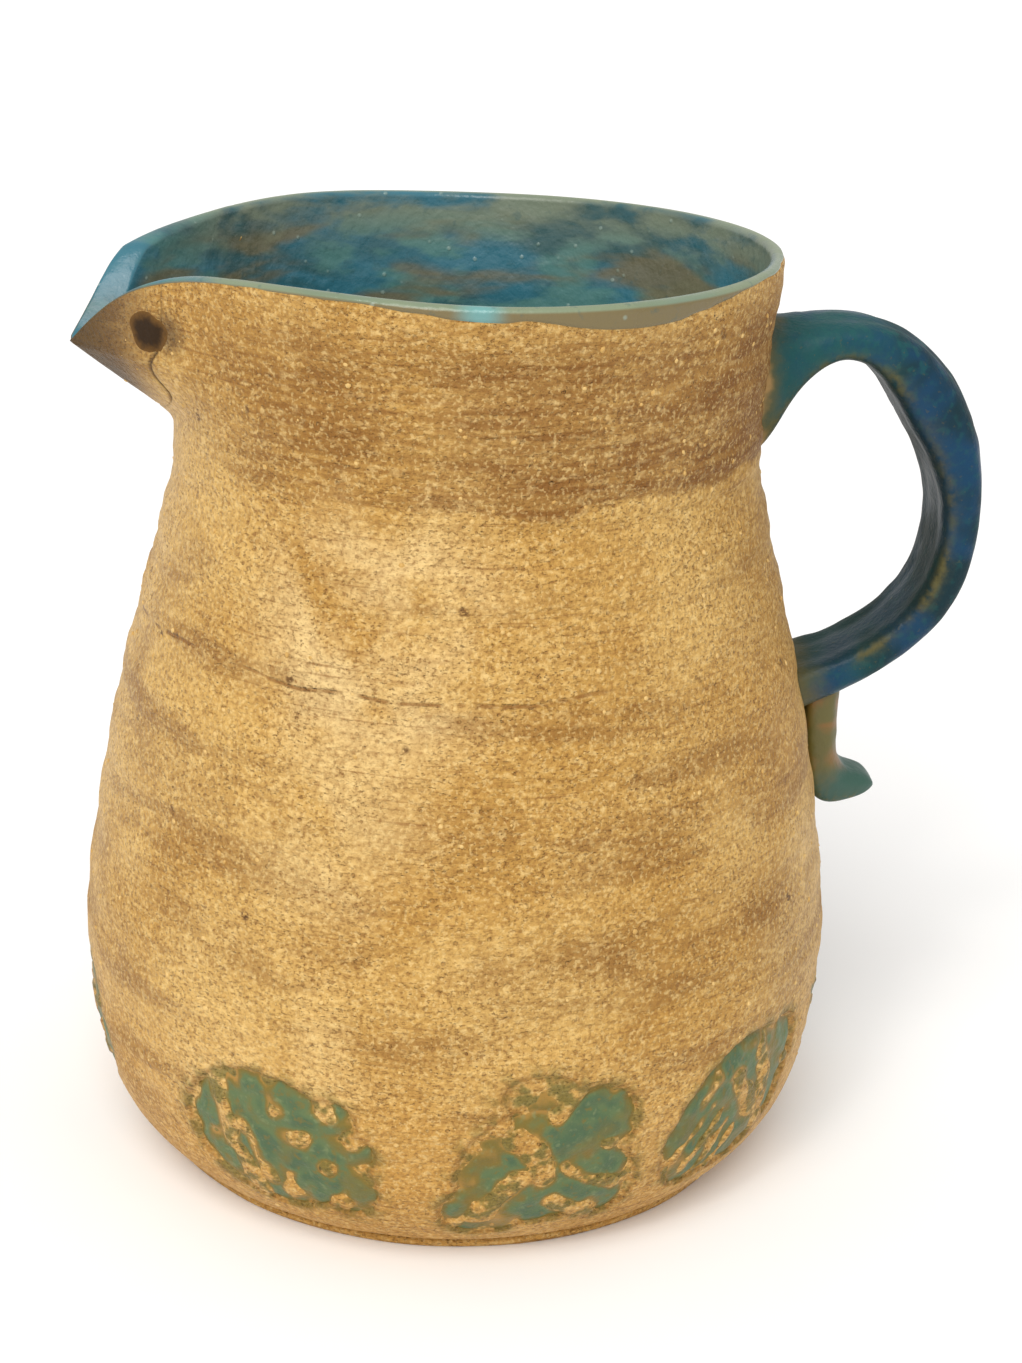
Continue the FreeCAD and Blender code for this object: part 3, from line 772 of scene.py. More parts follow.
@dataclass
class Liner:
    """The glaze poured round the inside and wiped over the lip, with its ragged outer edge."""

    columns: int = 360
    thickness: float = 0.36
    coat: float = 0.6
    crowd: float = 0.55
    lip_rows: int = 18
    lip_path: float = 5.0
    wall_rows: int = 60
    floor_rows: int = 16
    corner_level: float = 15.0
    corner_round: float = 9.0
    floor_top: float = 6.8
    bite: float = 0.05
    edge_film: float = 0.30
    edge_run: float = 0.35
    edge_tuck: float = 0.12
    beak_gap: float = 0.35
    runs: tuple[tuple[float, float, float], ...] = ((2.02, 0.33, 3.9), (1.45, 0.2, 1.2))
    wall: Wall = field(default_factory=Wall)

    def reach(self, phi: np.ndarray) -> np.ndarray:
        """Where the glaze ends: millimetres down the outside, or up the lip where negative."""
        place = ground(phi, 62.0, 0.0)
        run = sum(length * np.exp(-((phi - turn) / spread) ** 2) for turn, spread, length in self.runs)
        beak = smooth_step(0.80, 0.45, np.minimum(phi, 2 * math.pi - phi))
        ragged = 0.55 * lattice_noise(place, 15, 32) + 0.35 * lattice_noise(place, 4.5, 31)
        return np.clip((ragged + run - 0.75) * (1 - beak) - self.beak_gap * beak, -2.1, None)

    def rings(self, phi: np.ndarray, level: np.ndarray) -> np.ndarray:
        """Finger rings left inside by throwing."""
        climb = level + 2.5 * np.sin(phi * 0.5)
        waves = 0.22 * np.sin(climb / 2.1) * (0.6 + 0.4 * np.sin(climb / 11)) + 0.18 * np.sin(climb / 5.3)
        return waves + 0.16 * lattice_noise(ground(phi, 58.0, level * 1.8), 9, 33)

    def skin(self, phi: np.ndarray, lift: float) -> tuple[np.ndarray, np.ndarray]:
        """Rows of points from the ragged edge over the lip and down to the floor.

        Args:
            phi: turns of the columns.
            lift: 1 for the glaze's own surface, 0 for its back on the clay.

        Returns:
            The points, row by row, and how far down inside each one lies: -1 to 0 over the lip, then to 1.
        """
        rows, depths = [], []
        crown = self.wall.below_rim(phi)
        reach = self.reach(phi)
        outer = FORM.outer(phi, crown) + SKIN.outside(phi, crown)
        inner = FORM.inner(phi, crown)
        rise = self.wall.lip_rise(phi)
        for step in np.linspace(0, 1, self.lip_rows):
            place = reach - (reach + self.lip_path) * step
            film = self.thickness * lift * (1 - np.exp(-(reach - place) / self.edge_run))
            film = np.minimum(film, self.edge_film) - self.bite - self.edge_tuck * (step == 0)
            below = outside_point(phi, crown - np.maximum(place, 0), film)
            turn = np.clip(-place / self.lip_path, 0, 1) * math.pi
            over = ground(phi, 0.5 * (outer + inner) + (0.5 * (outer - inner) + film) * np.cos(turn),
                          crown + (rise + film) * np.sin(turn) ** self.wall.roundness)
            rows.append(np.where((place > 0)[:, None], below, over))
            depths.append(-1 + np.clip(turn / math.pi, 0, 1))
        for step in np.linspace(0, 1, self.wall_rows + 1)[1:]:
            level = crown + (self.corner_level - crown) * step ** 1.15
            ease = min(1.0, step * 12)
            film = (self.thickness + (self.coat - self.thickness) * ease) * lift - self.bite
            radius = FORM.inner(phi, level) - film - self.rings(phi, level) * ease * 0.5 * lift
            rows.append(ground(phi, radius, level))
            depths.append(np.full(phi.shape, step))
        low = FORM.neck(np.array(self.corner_level)) - FORM.wall - self.coat * lift
        floor = self.floor_top if lift else FORM.floor_level
        for step in np.linspace(0, 1, 8)[1:]:
            turn = 0.5 * math.pi * step
            radius = low - self.corner_round * (1 - math.cos(turn))
            level = self.corner_level + (floor - self.corner_level) * math.sin(turn)
            rows.append(ground(phi, radius, level))
            depths.append(np.ones(phi.shape))
        for step in np.linspace(1, 0.03, self.floor_rows)[1:]:
            radius = (low - self.corner_round) * step
            rise = 0.14 * lift * math.sin(radius / 3.1) ** 2
            rows.append(ground(phi, radius, floor + rise))
            depths.append(np.ones(phi.shape))
        return np.stack(rows), np.stack(depths)

    def build(self) -> bpy.types.Object:
        """Makes the coat as a thin closed shell."""
        builder = MeshBuilder()
        even = np.linspace(0, 2 * math.pi, self.columns, endpoint=False)
        phi = even - self.crowd * np.sin(even)
        points, depth = self.skin(phi, 1.0)
        face = builder.add(points, inside=depth)
        points, depth = self.skin(phi, 0.0)
        back = builder.add(points, inside=depth)
        builder.grid(face, closed=True)
        builder.grid(back[::-1], closed=True)
        builder.grid(np.stack([back[0], face[0]]), closed=True)
        middle = builder.add(np.array([[0, 0, self.floor_top], [0, 0, FORM.floor_level]]))
        builder.fan(face[-1], int(middle[0]))
        builder.fan(back[-1][::-1], int(middle[1]))
        return builder.build("liner_glaze_coat")


@dataclass
class StampPool:
    """The glaze lying in one stamp; the clay's ridges stand through it."""

    index: int
    half_across: float = 24.5
    half_up: float = 22.5
    step: float = 0.62
    surface: float = 0.50
    bed: float = 1.5
    shallowest: float = 0.22
    deepest: float = 1.35
    least_press: float = 0.04
    foot_gap: float = 1.2

    def build(self) -> bpy.types.Object:
        """Makes the pool as a thin closed sheet cut to the stamp's outline."""
        turn = STAMPS.turns()[self.index]
        centre = STAMPS.climb(np.array(STAMPS.level))
        across = np.arange(-self.half_across, self.half_across, self.step)
        up = np.arange(-self.half_up, self.half_up, self.step)
        u, v = np.meshgrid(across, up)
        level = STAMPS.level_at(centre + v)
        phi = turn + u / STAMPS.scale_radius
        stamp = STAMPS.order[self.index].value
        press = stamp.press(u, v)
        clay = press * (stamp.depth - np.clip(stamp.floor(u, v) + SKIN.crumble(phi, level), 0, stamp.depth))
        place = ground(phi, STAMPS.scale_radius, level)
        lumps = 0.26 * lattice_noise(place, 6.4, 41) + 0.30 * lattice_noise(place, 2.4, 42)
        shore = 0.55 * smooth_step(3.0, 0.2, stamp.inside(u, v))
        sunk = np.clip(self.surface + lumps + shore, self.shallowest, self.deepest)
        near = press > self.least_press
        cells = near[:-1, :-1] & near[1:, :-1] & near[:-1, 1:] & near[1:, 1:]
        cells &= (level[:-1, :-1] > FORM.slab_edge + self.foot_gap)
        builder = MeshBuilder()
        radius = FORM.neck(level) + SKIN.outside(phi, level)
        face = builder.add(ground(phi, radius - sunk, level), pooled=np.clip(clay - sunk, 0, 1))
        back = builder.add(ground(phi, radius - self.bed, level))
        self.tile(builder, face, back, cells)
        return self.trimmed(builder.build(f"stamp_glaze_pool_{self.index + 1}"))

    def tile(self, builder: MeshBuilder, face: np.ndarray, back: np.ndarray, cells: np.ndarray) -> None:
        """Adds the kept cells, front and back, and the walls round their border."""
        ring = np.pad(cells, 1)
        for i, k in np.argwhere(cells):
            corners = [(i, k), (i, k + 1), (i + 1, k + 1), (i + 1, k)]
            builder.faces.append(tuple(int(face[c]) for c in corners))
            builder.faces.append(tuple(int(back[c]) for c in reversed(corners)))
            beside = [ring[i, k + 1], ring[i + 1, k + 2], ring[i + 2, k + 1], ring[i + 1, k]]
            for side, covered in enumerate(beside):
                if not covered:
                    a, b = corners[side], corners[(side + 1) % 4]
                    builder.faces.append((int(back[a]), int(back[b]), int(face[b]), int(face[a])))

    def trimmed(self, piece: bpy.types.Object) -> bpy.types.Object:
        """Takes away the points that no face uses."""
        form = bmesh.new()
        form.from_mesh(piece.data)
        bmesh.ops.delete(form, geom=[v for v in form.verts if not v.link_faces], context="VERTS")
        form.to_mesh(piece.data)
        form.free()
        return piece


@dataclass
class EyeSpot:
    """A dab of iron oxide on one flank of the beak."""

    side: int
    centre: tuple[float, float] = (-63.6, 175.9)
    half_width: float = 3.7
    half_height: float = 4.2
    rings: int = 12
    columns: int = 48
    dome: float = 0.36
    sunk: float = 0.08
    backing: float = 0.25
    top_lift: float = 0.28
    bottom_lift: float = -0.33

    def place(self, across: np.ndarray, up: np.ndarray, lift: np.ndarray) -> np.ndarray:
        """Points on the beak's flank, given by their offsets in a plane that faces the dab."""
        x = self.centre[0] + across
        level = self.centre[1] + up
        low, high = np.zeros(x.shape), np.full(x.shape, 1.2)
        for _ in range(24):
            phi = 0.5 * (low + high)
            short = -FORM.outer(phi, level) * np.cos(phi) < x
            low, high = np.where(short, phi, low), np.where(short, high, phi)
        return outside_point(self.side * phi, level, lift)

    def build(self) -> bpy.types.Object:
        """Makes the dab as a thin closed blister."""
        builder = MeshBuilder()
        around = np.linspace(0, 2 * math.pi, self.columns, endpoint=False)
        ragged = 1 + 0.05 * np.sin(3 * around + 1) + 0.04 * np.sin(5 * around)
        rows = []
        for lift, order in ((1.0, range(1, self.rings + 1)), (0.0, range(self.rings - 1, 0, -1))):
            for ring in order:
                part = ring / self.rings
                film = self.dome * (1 - part ** 2) ** 0.6 * lift - self.sunk - self.backing * (1 - lift)
                points = self.place(self.half_width * part * ragged * np.cos(around),
                                    self.half_height * part * ragged * np.sin(around), film)
                rows.append(builder.add(points, spread=np.full(around.shape, part)))
        middle = np.zeros(1)
        top = builder.add(self.place(middle, middle, self.top_lift))
        bottom = builder.add(self.place(middle, middle, self.bottom_lift))
        stack = np.stack(rows)
        if self.side < 0:
            stack = stack[:, ::-1]
        builder.grid(stack[::-1], closed=True)
        builder.fan(stack[0], int(top[0]))
        builder.fan(stack[-1][::-1], int(bottom[0]))
        return builder.build("eye_spot_near" if self.side > 0 else "eye_spot_far")


# ---------------------------------------------------------------- the handle

@dataclass(frozen=True)
class Station:
    """One place along a strap: its outer and inner middle (x, z) and half its width."""

    outside: tuple[float, float]
    inside: tuple[float, float]
    half_width: float


def through(points: np.ndarray, count: int) -> np.ndarray:
    """A smooth curve that all but passes through the points.

    Args:
        points: places, one a row.
        count: how many samples.

    Returns:
        The samples, one a row.
    """
    points = np.asarray(points, dtype=float)
    poles = points.copy()
    poles[1:-1] += (2 * points[1:-1] - points[:-2] - points[2:]) / 6
    return spline_points(poles, count)


@dataclass
class Strap:
    """A pulled strap of clay, soft along its edges and channelled down its faces."""

    name: str
    stations: tuple[Station, ...]
    rows: int = 190
    columns: int = 80
    squareness: float = 2.5
    inner_squareness: float = 4.6
    channel: float = 0.38
    channel_place: float = 0.42
    channel_width: float = 0.24
    drag: float = 0.10
    swell: float = 0.34
    dimple: float = 0.14
    taken_off: float = 0.2
    seed: int = 51

    def build(self) -> bpy.types.Object:
        """Makes the strap."""
        outer = through(np.array([s.outside for s in self.stations]), self.rows)
        inner = through(np.array([s.inside for s in self.stations]), self.rows)
        width = through(np.array([(s.half_width, 0.0) for s in self.stations]), self.rows)[:, 0]
        middle, half = 0.5 * (outer + inner), 0.5 * (outer - inner)
        around = np.linspace(0, 2 * math.pi, self.columns, endpoint=False)
        power = np.where(np.sin(around) < 0, 2 / self.inner_squareness, 2 / self.squareness)
        side = np.sign(np.cos(around)) * np.abs(np.cos(around)) ** power
        out = np.sign(np.sin(around)) * np.abs(np.sin(around)) ** power
        thick = np.hypot(half[:, 0], half[:, 1])[:, None]
        run = np.concatenate([[0], np.cumsum(np.hypot(*np.diff(middle, axis=0).T))])[:, None]
        lines = np.stack(np.broadcast_arrays(side * width[:, None], out * 4.0, run * 0.05), axis=-1)
        lumps = np.stack(np.broadcast_arrays(side * width[:, None], out * thick, run), axis=-1)
        relief = self.drag * lattice_noise(lines, 1.5, self.seed)
        relief = relief + self.swell * lattice_noise(lumps, 11, self.seed + 1)
        relief = relief - self.channel * np.exp(
            -((np.abs(side) - self.channel_place) / self.channel_width) ** 2) * np.abs(out) ** 3
        relief = relief + self.dimple * lattice_noise(lumps, 3.2, self.seed + 2)
        grown = 1 + (relief - self.taken_off) / thick
        xz = middle[:, None, :] + half[:, None, :] * (out * grown)[..., None]
        y = side * (width[:, None] + relief * 0.8 - self.taken_off)
        points = np.stack([xz[..., 0], y, xz[..., 1]], axis=-1)
        edge = np.exp(-((out + 0.62) / 0.24) ** 2) * smooth_step(0.80, 0.96, np.abs(side))
        edge = np.broadcast_to(edge, y.shape)
        along = np.broadcast_to(run / run[-1], y.shape)
        builder = MeshBuilder()
        # Mask of the strap's inner face, which gets painted shade in the handle glaze.
        hollow = np.broadcast_to(smooth_step(-0.45, -0.9, out), y.shape)
        grid = builder.add(points, edge=edge, along=along, hollow=hollow)
        builder.grid(np.concatenate([grid, grid[:, :1]], axis=1))
        for row, ring in ((0, grid[0][::-1]), (-1, grid[-1])):
            tip = builder.add(np.array([[middle[row, 0], 0, middle[row, 1]]]), along=along[row, :1])
            builder.fan(ring, int(tip[0]))
        return builder.build(self.name)


HANDLE_STATIONS = (
    Station((56.5, 176.0), (56.5, 149.0), 15.5), Station((62.0, 175.9), (59.9, 151.5), 13.6),
    Station((68.0, 176.2), (64.0, 159.8), 11.7), Station((75.0, 176.7), (71.4, 166.9), 10.9),
    Station((83.0, 175.7), (78.9, 167.2), 10.6), Station((92.0, 171.4), (84.2, 162.6), 10.6),
    Station((99.8, 163.6), (88.8, 155.4), 10.7), Station((105.1, 153.8), (93.8, 147.6), 10.7),
    Station((107.2, 142.0), (97.0, 139.8), 10.7), Station((107.2, 131.5), (97.7, 132.0), 10.6),
    Station((104.9, 119.3), (96.2, 123.4), 10.6), Station((98.7, 109.5), (92.0, 115.8), 10.6),
    Station((90.5, 102.4), (85.0, 109.4), 10.6), Station((81.0, 96.7), (77.1, 105.0), 10.7),
    Station((76.0, 94.4), (71.8, 103.6), 11.2), Station((70.5, 92.0), (69.0, 102.5), 11.6))

TAIL_STATIONS = (
    Station((80.9, 99.5), (71.5, 99.5), 9.0), Station((81.0, 92.0), (71.8, 92.0), 9.0),
    Station((81.0, 86.0), (72.6, 84.5), 9.0), Station((81.7, 80.9), (73.9, 75.6), 8.6),
    Station((84.2, 78.2), (77.6, 70.6), 7.6), Station((87.0, 77.1), (83.0, 70.9), 6.6),
    Station((89.2, 75.7), (87.5, 71.9), 5.4), Station((89.8, 74.3), (89.4, 73.3), 3.6))


# ---------------------------------------------------------------- grog in the clay

@dataclass
class Grog:
    """Pale grains of grog that stand a little out of the clay."""

    density: float = 17000.0
    smallest: float = 0.28
    largest: float = 0.78
    flatness: float = 0.50
    seed: int = 7
    columns: int = 480
    rows: int = 200
    bottom: float = 4.5
    top: float = 183.0
    sunk: float = 0.15
    rim_gap: float = 5.0
    least_clear: float = 0.40
    most_turned: tuple[float, float, float] = (0.5, 0.5, 6.28)

    def host(self) -> bpy.types.Object:
        """The bare outside of the pot, without its stamps, for the grains to lie on."""
        builder = MeshBuilder()
        phi = np.linspace(0, 2 * math.pi, self.columns + 1)[None, :]
        level = np.linspace(self.bottom, self.top, self.rows)[:, None]
        phi, level = np.broadcast_arrays(phi, level)
        numbers = builder.add(outside_point(phi, level, -self.sunk))
        pressed = SKIN.stamped(phi, level)[1]
        below = level < self.wall_top(phi)
        clear = (pressed < self.least_clear) & below
        for i, k in np.argwhere(clear[:-1, :-1] & clear[1:, :-1] & clear[:-1, 1:] & clear[1:, 1:]):
            corners = [numbers[i, k], numbers[i, k + 1], numbers[i + 1, k + 1], numbers[i + 1, k]]
            builder.faces.append(tuple(int(c) for c in corners))
        return builder.build("grog_host")

    def wall_top(self, phi: np.ndarray) -> np.ndarray:
        """Height above which no grain lies, in each direction."""
        return FORM.rim(phi) - self.rim_gap

    def tree(self, material: bpy.types.Material) -> bpy.types.NodeTree:
        """The node tree that scatters the grains."""
        tree = bpy.data.node_groups.new("scatter_grog", "GeometryNodeTree")
        sockets = tree.interface
        sockets.new_socket("Host", in_out="INPUT", socket_type="NodeSocketGeometry")
        for label in ("Density", "Smallest", "Largest", "Flatness"):
            sockets.new_socket(label, in_out="INPUT", socket_type="NodeSocketFloat")
        sockets.new_socket("Seed", in_out="INPUT", socket_type="NodeSocketInt")
        sockets.new_socket("Grains", in_out="OUTPUT", socket_type="NodeSocketGeometry")
        start = tree.nodes.new("NodeGroupInput")
        end = tree.nodes.new("NodeGroupOutput")
        scatter = tree.nodes.new("GeometryNodeDistributePointsOnFaces")
        grain = tree.nodes.new("GeometryNodeMeshIcoSphere")
        grain.inputs["Subdivisions"].default_value = 1
        grain.inputs["Radius"].default_value = 1.0
        size = tree.nodes.new("FunctionNodeRandomValue")
        flat = tree.nodes.new("ShaderNodeMath")
        flat.operation = "MULTIPLY"
        shape = tree.nodes.new("ShaderNodeCombineXYZ")
        place = tree.nodes.new("GeometryNodeInstanceOnPoints")
        spin = tree.nodes.new("FunctionNodeRotateRotation")
        spin.rotation_space = "LOCAL"
        turn = tree.nodes.new("FunctionNodeRandomValue")
        turn.data_type = "FLOAT_VECTOR"
        turn.inputs[0].default_value = (0, 0, 0)
        turn.inputs[1].default_value = self.most_turned
        real = tree.nodes.new("GeometryNodeRealizeInstances")
        dress = tree.nodes.new("GeometryNodeSetMaterial")
        dress.inputs["Material"].default_value = material
        wires = (
            (start.outputs["Host"], scatter.inputs["Mesh"]),
            (start.outputs["Density"], scatter.inputs["Density"]),
            (start.outputs["Seed"], scatter.inputs["Seed"]),
            (start.outputs["Seed"], size.inputs["Seed"]),
            (start.outputs["Smallest"], size.inputs[2]),
            (start.outputs["Largest"], size.inputs[3]),
            (size.outputs[1], flat.inputs[0]),
            (start.outputs["Flatness"], flat.inputs[1]),
            (size.outputs[1], shape.inputs[0]),
            (size.outputs[1], shape.inputs[1]),
            (flat.outputs[0], shape.inputs[2]),
            (scatter.outputs["Points"], place.inputs["Points"]),
            (scatter.outputs["Rotation"], spin.inputs["Rotation"]),
            (turn.outputs[0], spin.inputs["Rotate By"]),
            (spin.outputs["Rotation"], place.inputs["Rotation"]),
            (grain.outputs["Mesh"], place.inputs["Instance"]),
            (shape.outputs[0], place.inputs["Scale"]),
            (place.outputs["Instances"], real.inputs[0]),
            (real.outputs[0], dress.inputs["Geometry"]),
            (dress.outputs["Geometry"], end.inputs[0]))
        for source, target in wires:
            tree.links.new(source, target)
        return tree

    def build(self, material: bpy.types.Material) -> bpy.types.Object:
        """Makes the grains as one plain mesh."""
        host = self.host()
        tree = self.tree(material)
        scatter = host.modifiers.new("grog", "NODES")
        scatter.node_group = tree
        settings = {"Density": self.density, "Smallest": self.smallest * MM, "Largest": self.largest * MM,
                    "Flatness": self.flatness, "Seed": self.seed}
        for item in tree.interface.items_tree:
            if item.in_out == "INPUT" and item.name in settings:
                scatter[item.identifier] = settings[item.name]
        graph = bpy.context.evaluated_depsgraph_get()
        mesh = bpy.data.meshes.new_from_object(host.evaluated_get(graph), depsgraph=graph)
        bpy.data.objects.remove(host)
        bpy.data.node_groups.remove(tree)
        grains = bpy.data.objects.new("grog_grains", mesh)
        mesh.polygons.foreach_set("use_smooth", [True] * len(mesh.polygons))
        return linked(grains)


# ---------------------------------------------------------------- finishes

Colour = tuple[float, float, float]
Socket = bpy.types.NodeSocket


class Bench:
    """Wires up one material; every length on it is in millimetres."""

    def __init__(self, name: str) -> None:
        self.material = bpy.data.materials.new(name)
        self.material.use_nodes = True
        self.nodes = self.material.node_tree.nodes
        self.links = self.material.node_tree.links
        self.shader = next(n for n in self.nodes if n.type == "BSDF_PRINCIPLED")
        self.place = self.stretched((1, 1, 1))
        self.colour: Socket | None = None

    def feed(self, node: bpy.types.Node, socket: int | str, value: Socket | float | tuple) -> None:
        """Links a socket to an input, or sets the input to a plain value."""
        if isinstance(value, bpy.types.NodeSocket):
            self.links.new(value, node.inputs[socket])
        else:
            node.inputs[socket].default_value = value

    def stretched(self, scale: tuple[float, float, float]) -> Socket:
        """The place on the piece in millimetres, times a scale on each axis."""
        coordinate = self.nodes.new("ShaderNodeTexCoord")
        mapping = self.nodes.new("ShaderNodeMapping")
        mapping.inputs["Scale"].default_value = [part / MM for part in scale]
        self.links.new(coordinate.outputs["Object"], mapping.inputs["Vector"])
        return mapping.outputs["Vector"]

    def noise(self, place: Socket, size: float, detail: float = 2.0, distortion: float = 0.0) -> Socket:
        """Noise whose lumps are about so many millimetres across."""
        node = self.nodes.new("ShaderNodeTexNoise")
        self.feed(node, "Vector", place)
        node.inputs["Scale"].default_value = 1.0 / size
        node.inputs["Detail"].default_value = detail
        node.inputs["Distortion"].default_value = distortion
        return node.outputs["Fac"]

    def cells(self, place: Socket, size: float) -> Socket:
        """Distance to the middle of scattered cells, in cells."""
        node = self.nodes.new("ShaderNodeTexVoronoi")
        self.feed(node, "Vector", place)
        node.inputs["Scale"].default_value = 1.0 / size
        return node.outputs["Distance"]

    def sum(self, operation: str, a: Socket | float, b: Socket | float = 0.0) -> Socket:
        """Simple arithmetic."""
        node = self.nodes.new("ShaderNodeMath")
        node.operation = operation
        self.feed(node, 0, a)
        self.feed(node, 1, b)
        return node.outputs[0]

    def swayed(self, value: Socket, by: Socket, times: float) -> Socket:
        """A value with so many times another added to it."""
        return self.sum("ADD", value, self.sum("MULTIPLY", by, times))

    def apart(self, a: Socket, b: Socket | float) -> Socket:
        """How far two values are apart."""
        return self.sum("ABSOLUTE", self.sum("SUBTRACT", a, b))

    def rise(self, value: Socket, low: float, high: float, top: float = 1.0) -> Socket:
        """Goes smoothly from 0 to its top as the value goes from low to high."""
        node = self.nodes.new("ShaderNodeMapRange")
        node.interpolation_type = "SMOOTHSTEP"
        self.feed(node, 0, value)
        turned = low > high
        node.inputs[1].default_value = high if turned else low
        node.inputs[2].default_value = low if turned else high
        node.inputs[3].default_value = top if turned else 0.0
        node.inputs[4].default_value = 0.0 if turned else top
        return node.outputs[0]

    def both(self, *masks: Socket) -> Socket:
        """Masks multiplied together."""
        total = masks[0]
        for mask in masks[1:]:
            total = self.sum("MULTIPLY", total, mask)
        return total

    def level(self) -> Socket:
        """Height above the table in millimetres."""
        return self.axis("Z")

    def axis(self, name: str) -> Socket:
        """One coordinate of the place in millimetres."""
        node = self.nodes.new("ShaderNodeSeparateXYZ")
        self.links.new(self.place, node.inputs[0])
        return node.outputs[name]

    def away(self, point: tuple[float, float, float]) -> Socket:
        """Distance in millimetres from a point."""
        node = self.nodes.new("ShaderNodeVectorMath")
        node.operation = "DISTANCE"
        self.links.new(self.place, node.inputs[0])
        node.inputs[1].default_value = point
        return node.outputs["Value"]

    def kept(self, name: str) -> Socket:
        """A value kept with the mesh."""
        node = self.nodes.new("ShaderNodeAttribute")
        node.attribute_name = name
        return node.outputs["Fac"]

    def mixed(self, share: Socket | float, below: Socket | Colour, above: Socket | Colour) -> Socket:
        """Blends one colour over another."""
        node = self.nodes.new("ShaderNodeMix")
        node.data_type = "RGBA"
        self.feed(node, 0, share)
        for socket, colour in ((6, below), (7, above)):
            self.feed(node, socket, (*colour, 1.0) if isinstance(colour, tuple) else colour)
        return node.outputs[2]

    def bumped(self, *layers: tuple[Socket, float]) -> None:
        """Gives the surface relief: each layer is a height mask and its depth in millimetres."""
        normal = None
        for height, depth in layers:
            node = self.nodes.new("ShaderNodeBump")
            node.inputs["Distance"].default_value = abs(depth) * MM
            node.invert = depth < 0
            self.links.new(height, node.inputs["Height"])
            if normal is not None:
                self.links.new(normal, node.inputs["Normal"])
            normal = node.outputs["Normal"]
        self.links.new(normal, self.shader.inputs["Normal"])

    def gloss(self, value: Socket, low: float, high: float, shine: float = 0.5) -> None:
        """Roughness between two values, led by a mask, and how strongly the surface shines."""
        self.shader.inputs["Specular IOR Level"].default_value = shine
        self.links.new(self.sum("ADD", self.sum("MULTIPLY", value, high - low), low),
                       self.shader.inputs["Roughness"])

    def begin(self, share: Socket | float, below: Colour, above: Colour) -> None:
        """Starts the colour with a blend of two."""
        self.colour = self.mixed(share, below, above)

    def coat(self, tint: Colour, share: Socket | float) -> None:
        """Lays one more colour over what is there, where its mask says."""
        self.colour = self.mixed(share, self.colour, tint)

    def done(self) -> bpy.types.Material:
        """Connects the colour and hands over the material."""
        self.links.new(self.colour, self.shader.inputs["Base Color"])
        return self.material


def tone(red: int, green: int, blue: int) -> Colour:
    """A colour given in everyday 0 to 255 steps, as the shader needs it."""
    return tuple(((part / 255 + 0.055) / 1.055) ** 2.4 for part in (red, green, blue))


@dataclass(frozen=True)
class Patch:
    """A soft patch of another tone: its middle, how far it reaches and how strong it is."""

    middle: tuple[float, float, float]
    reach: float
    strength: float
    tint: Colour


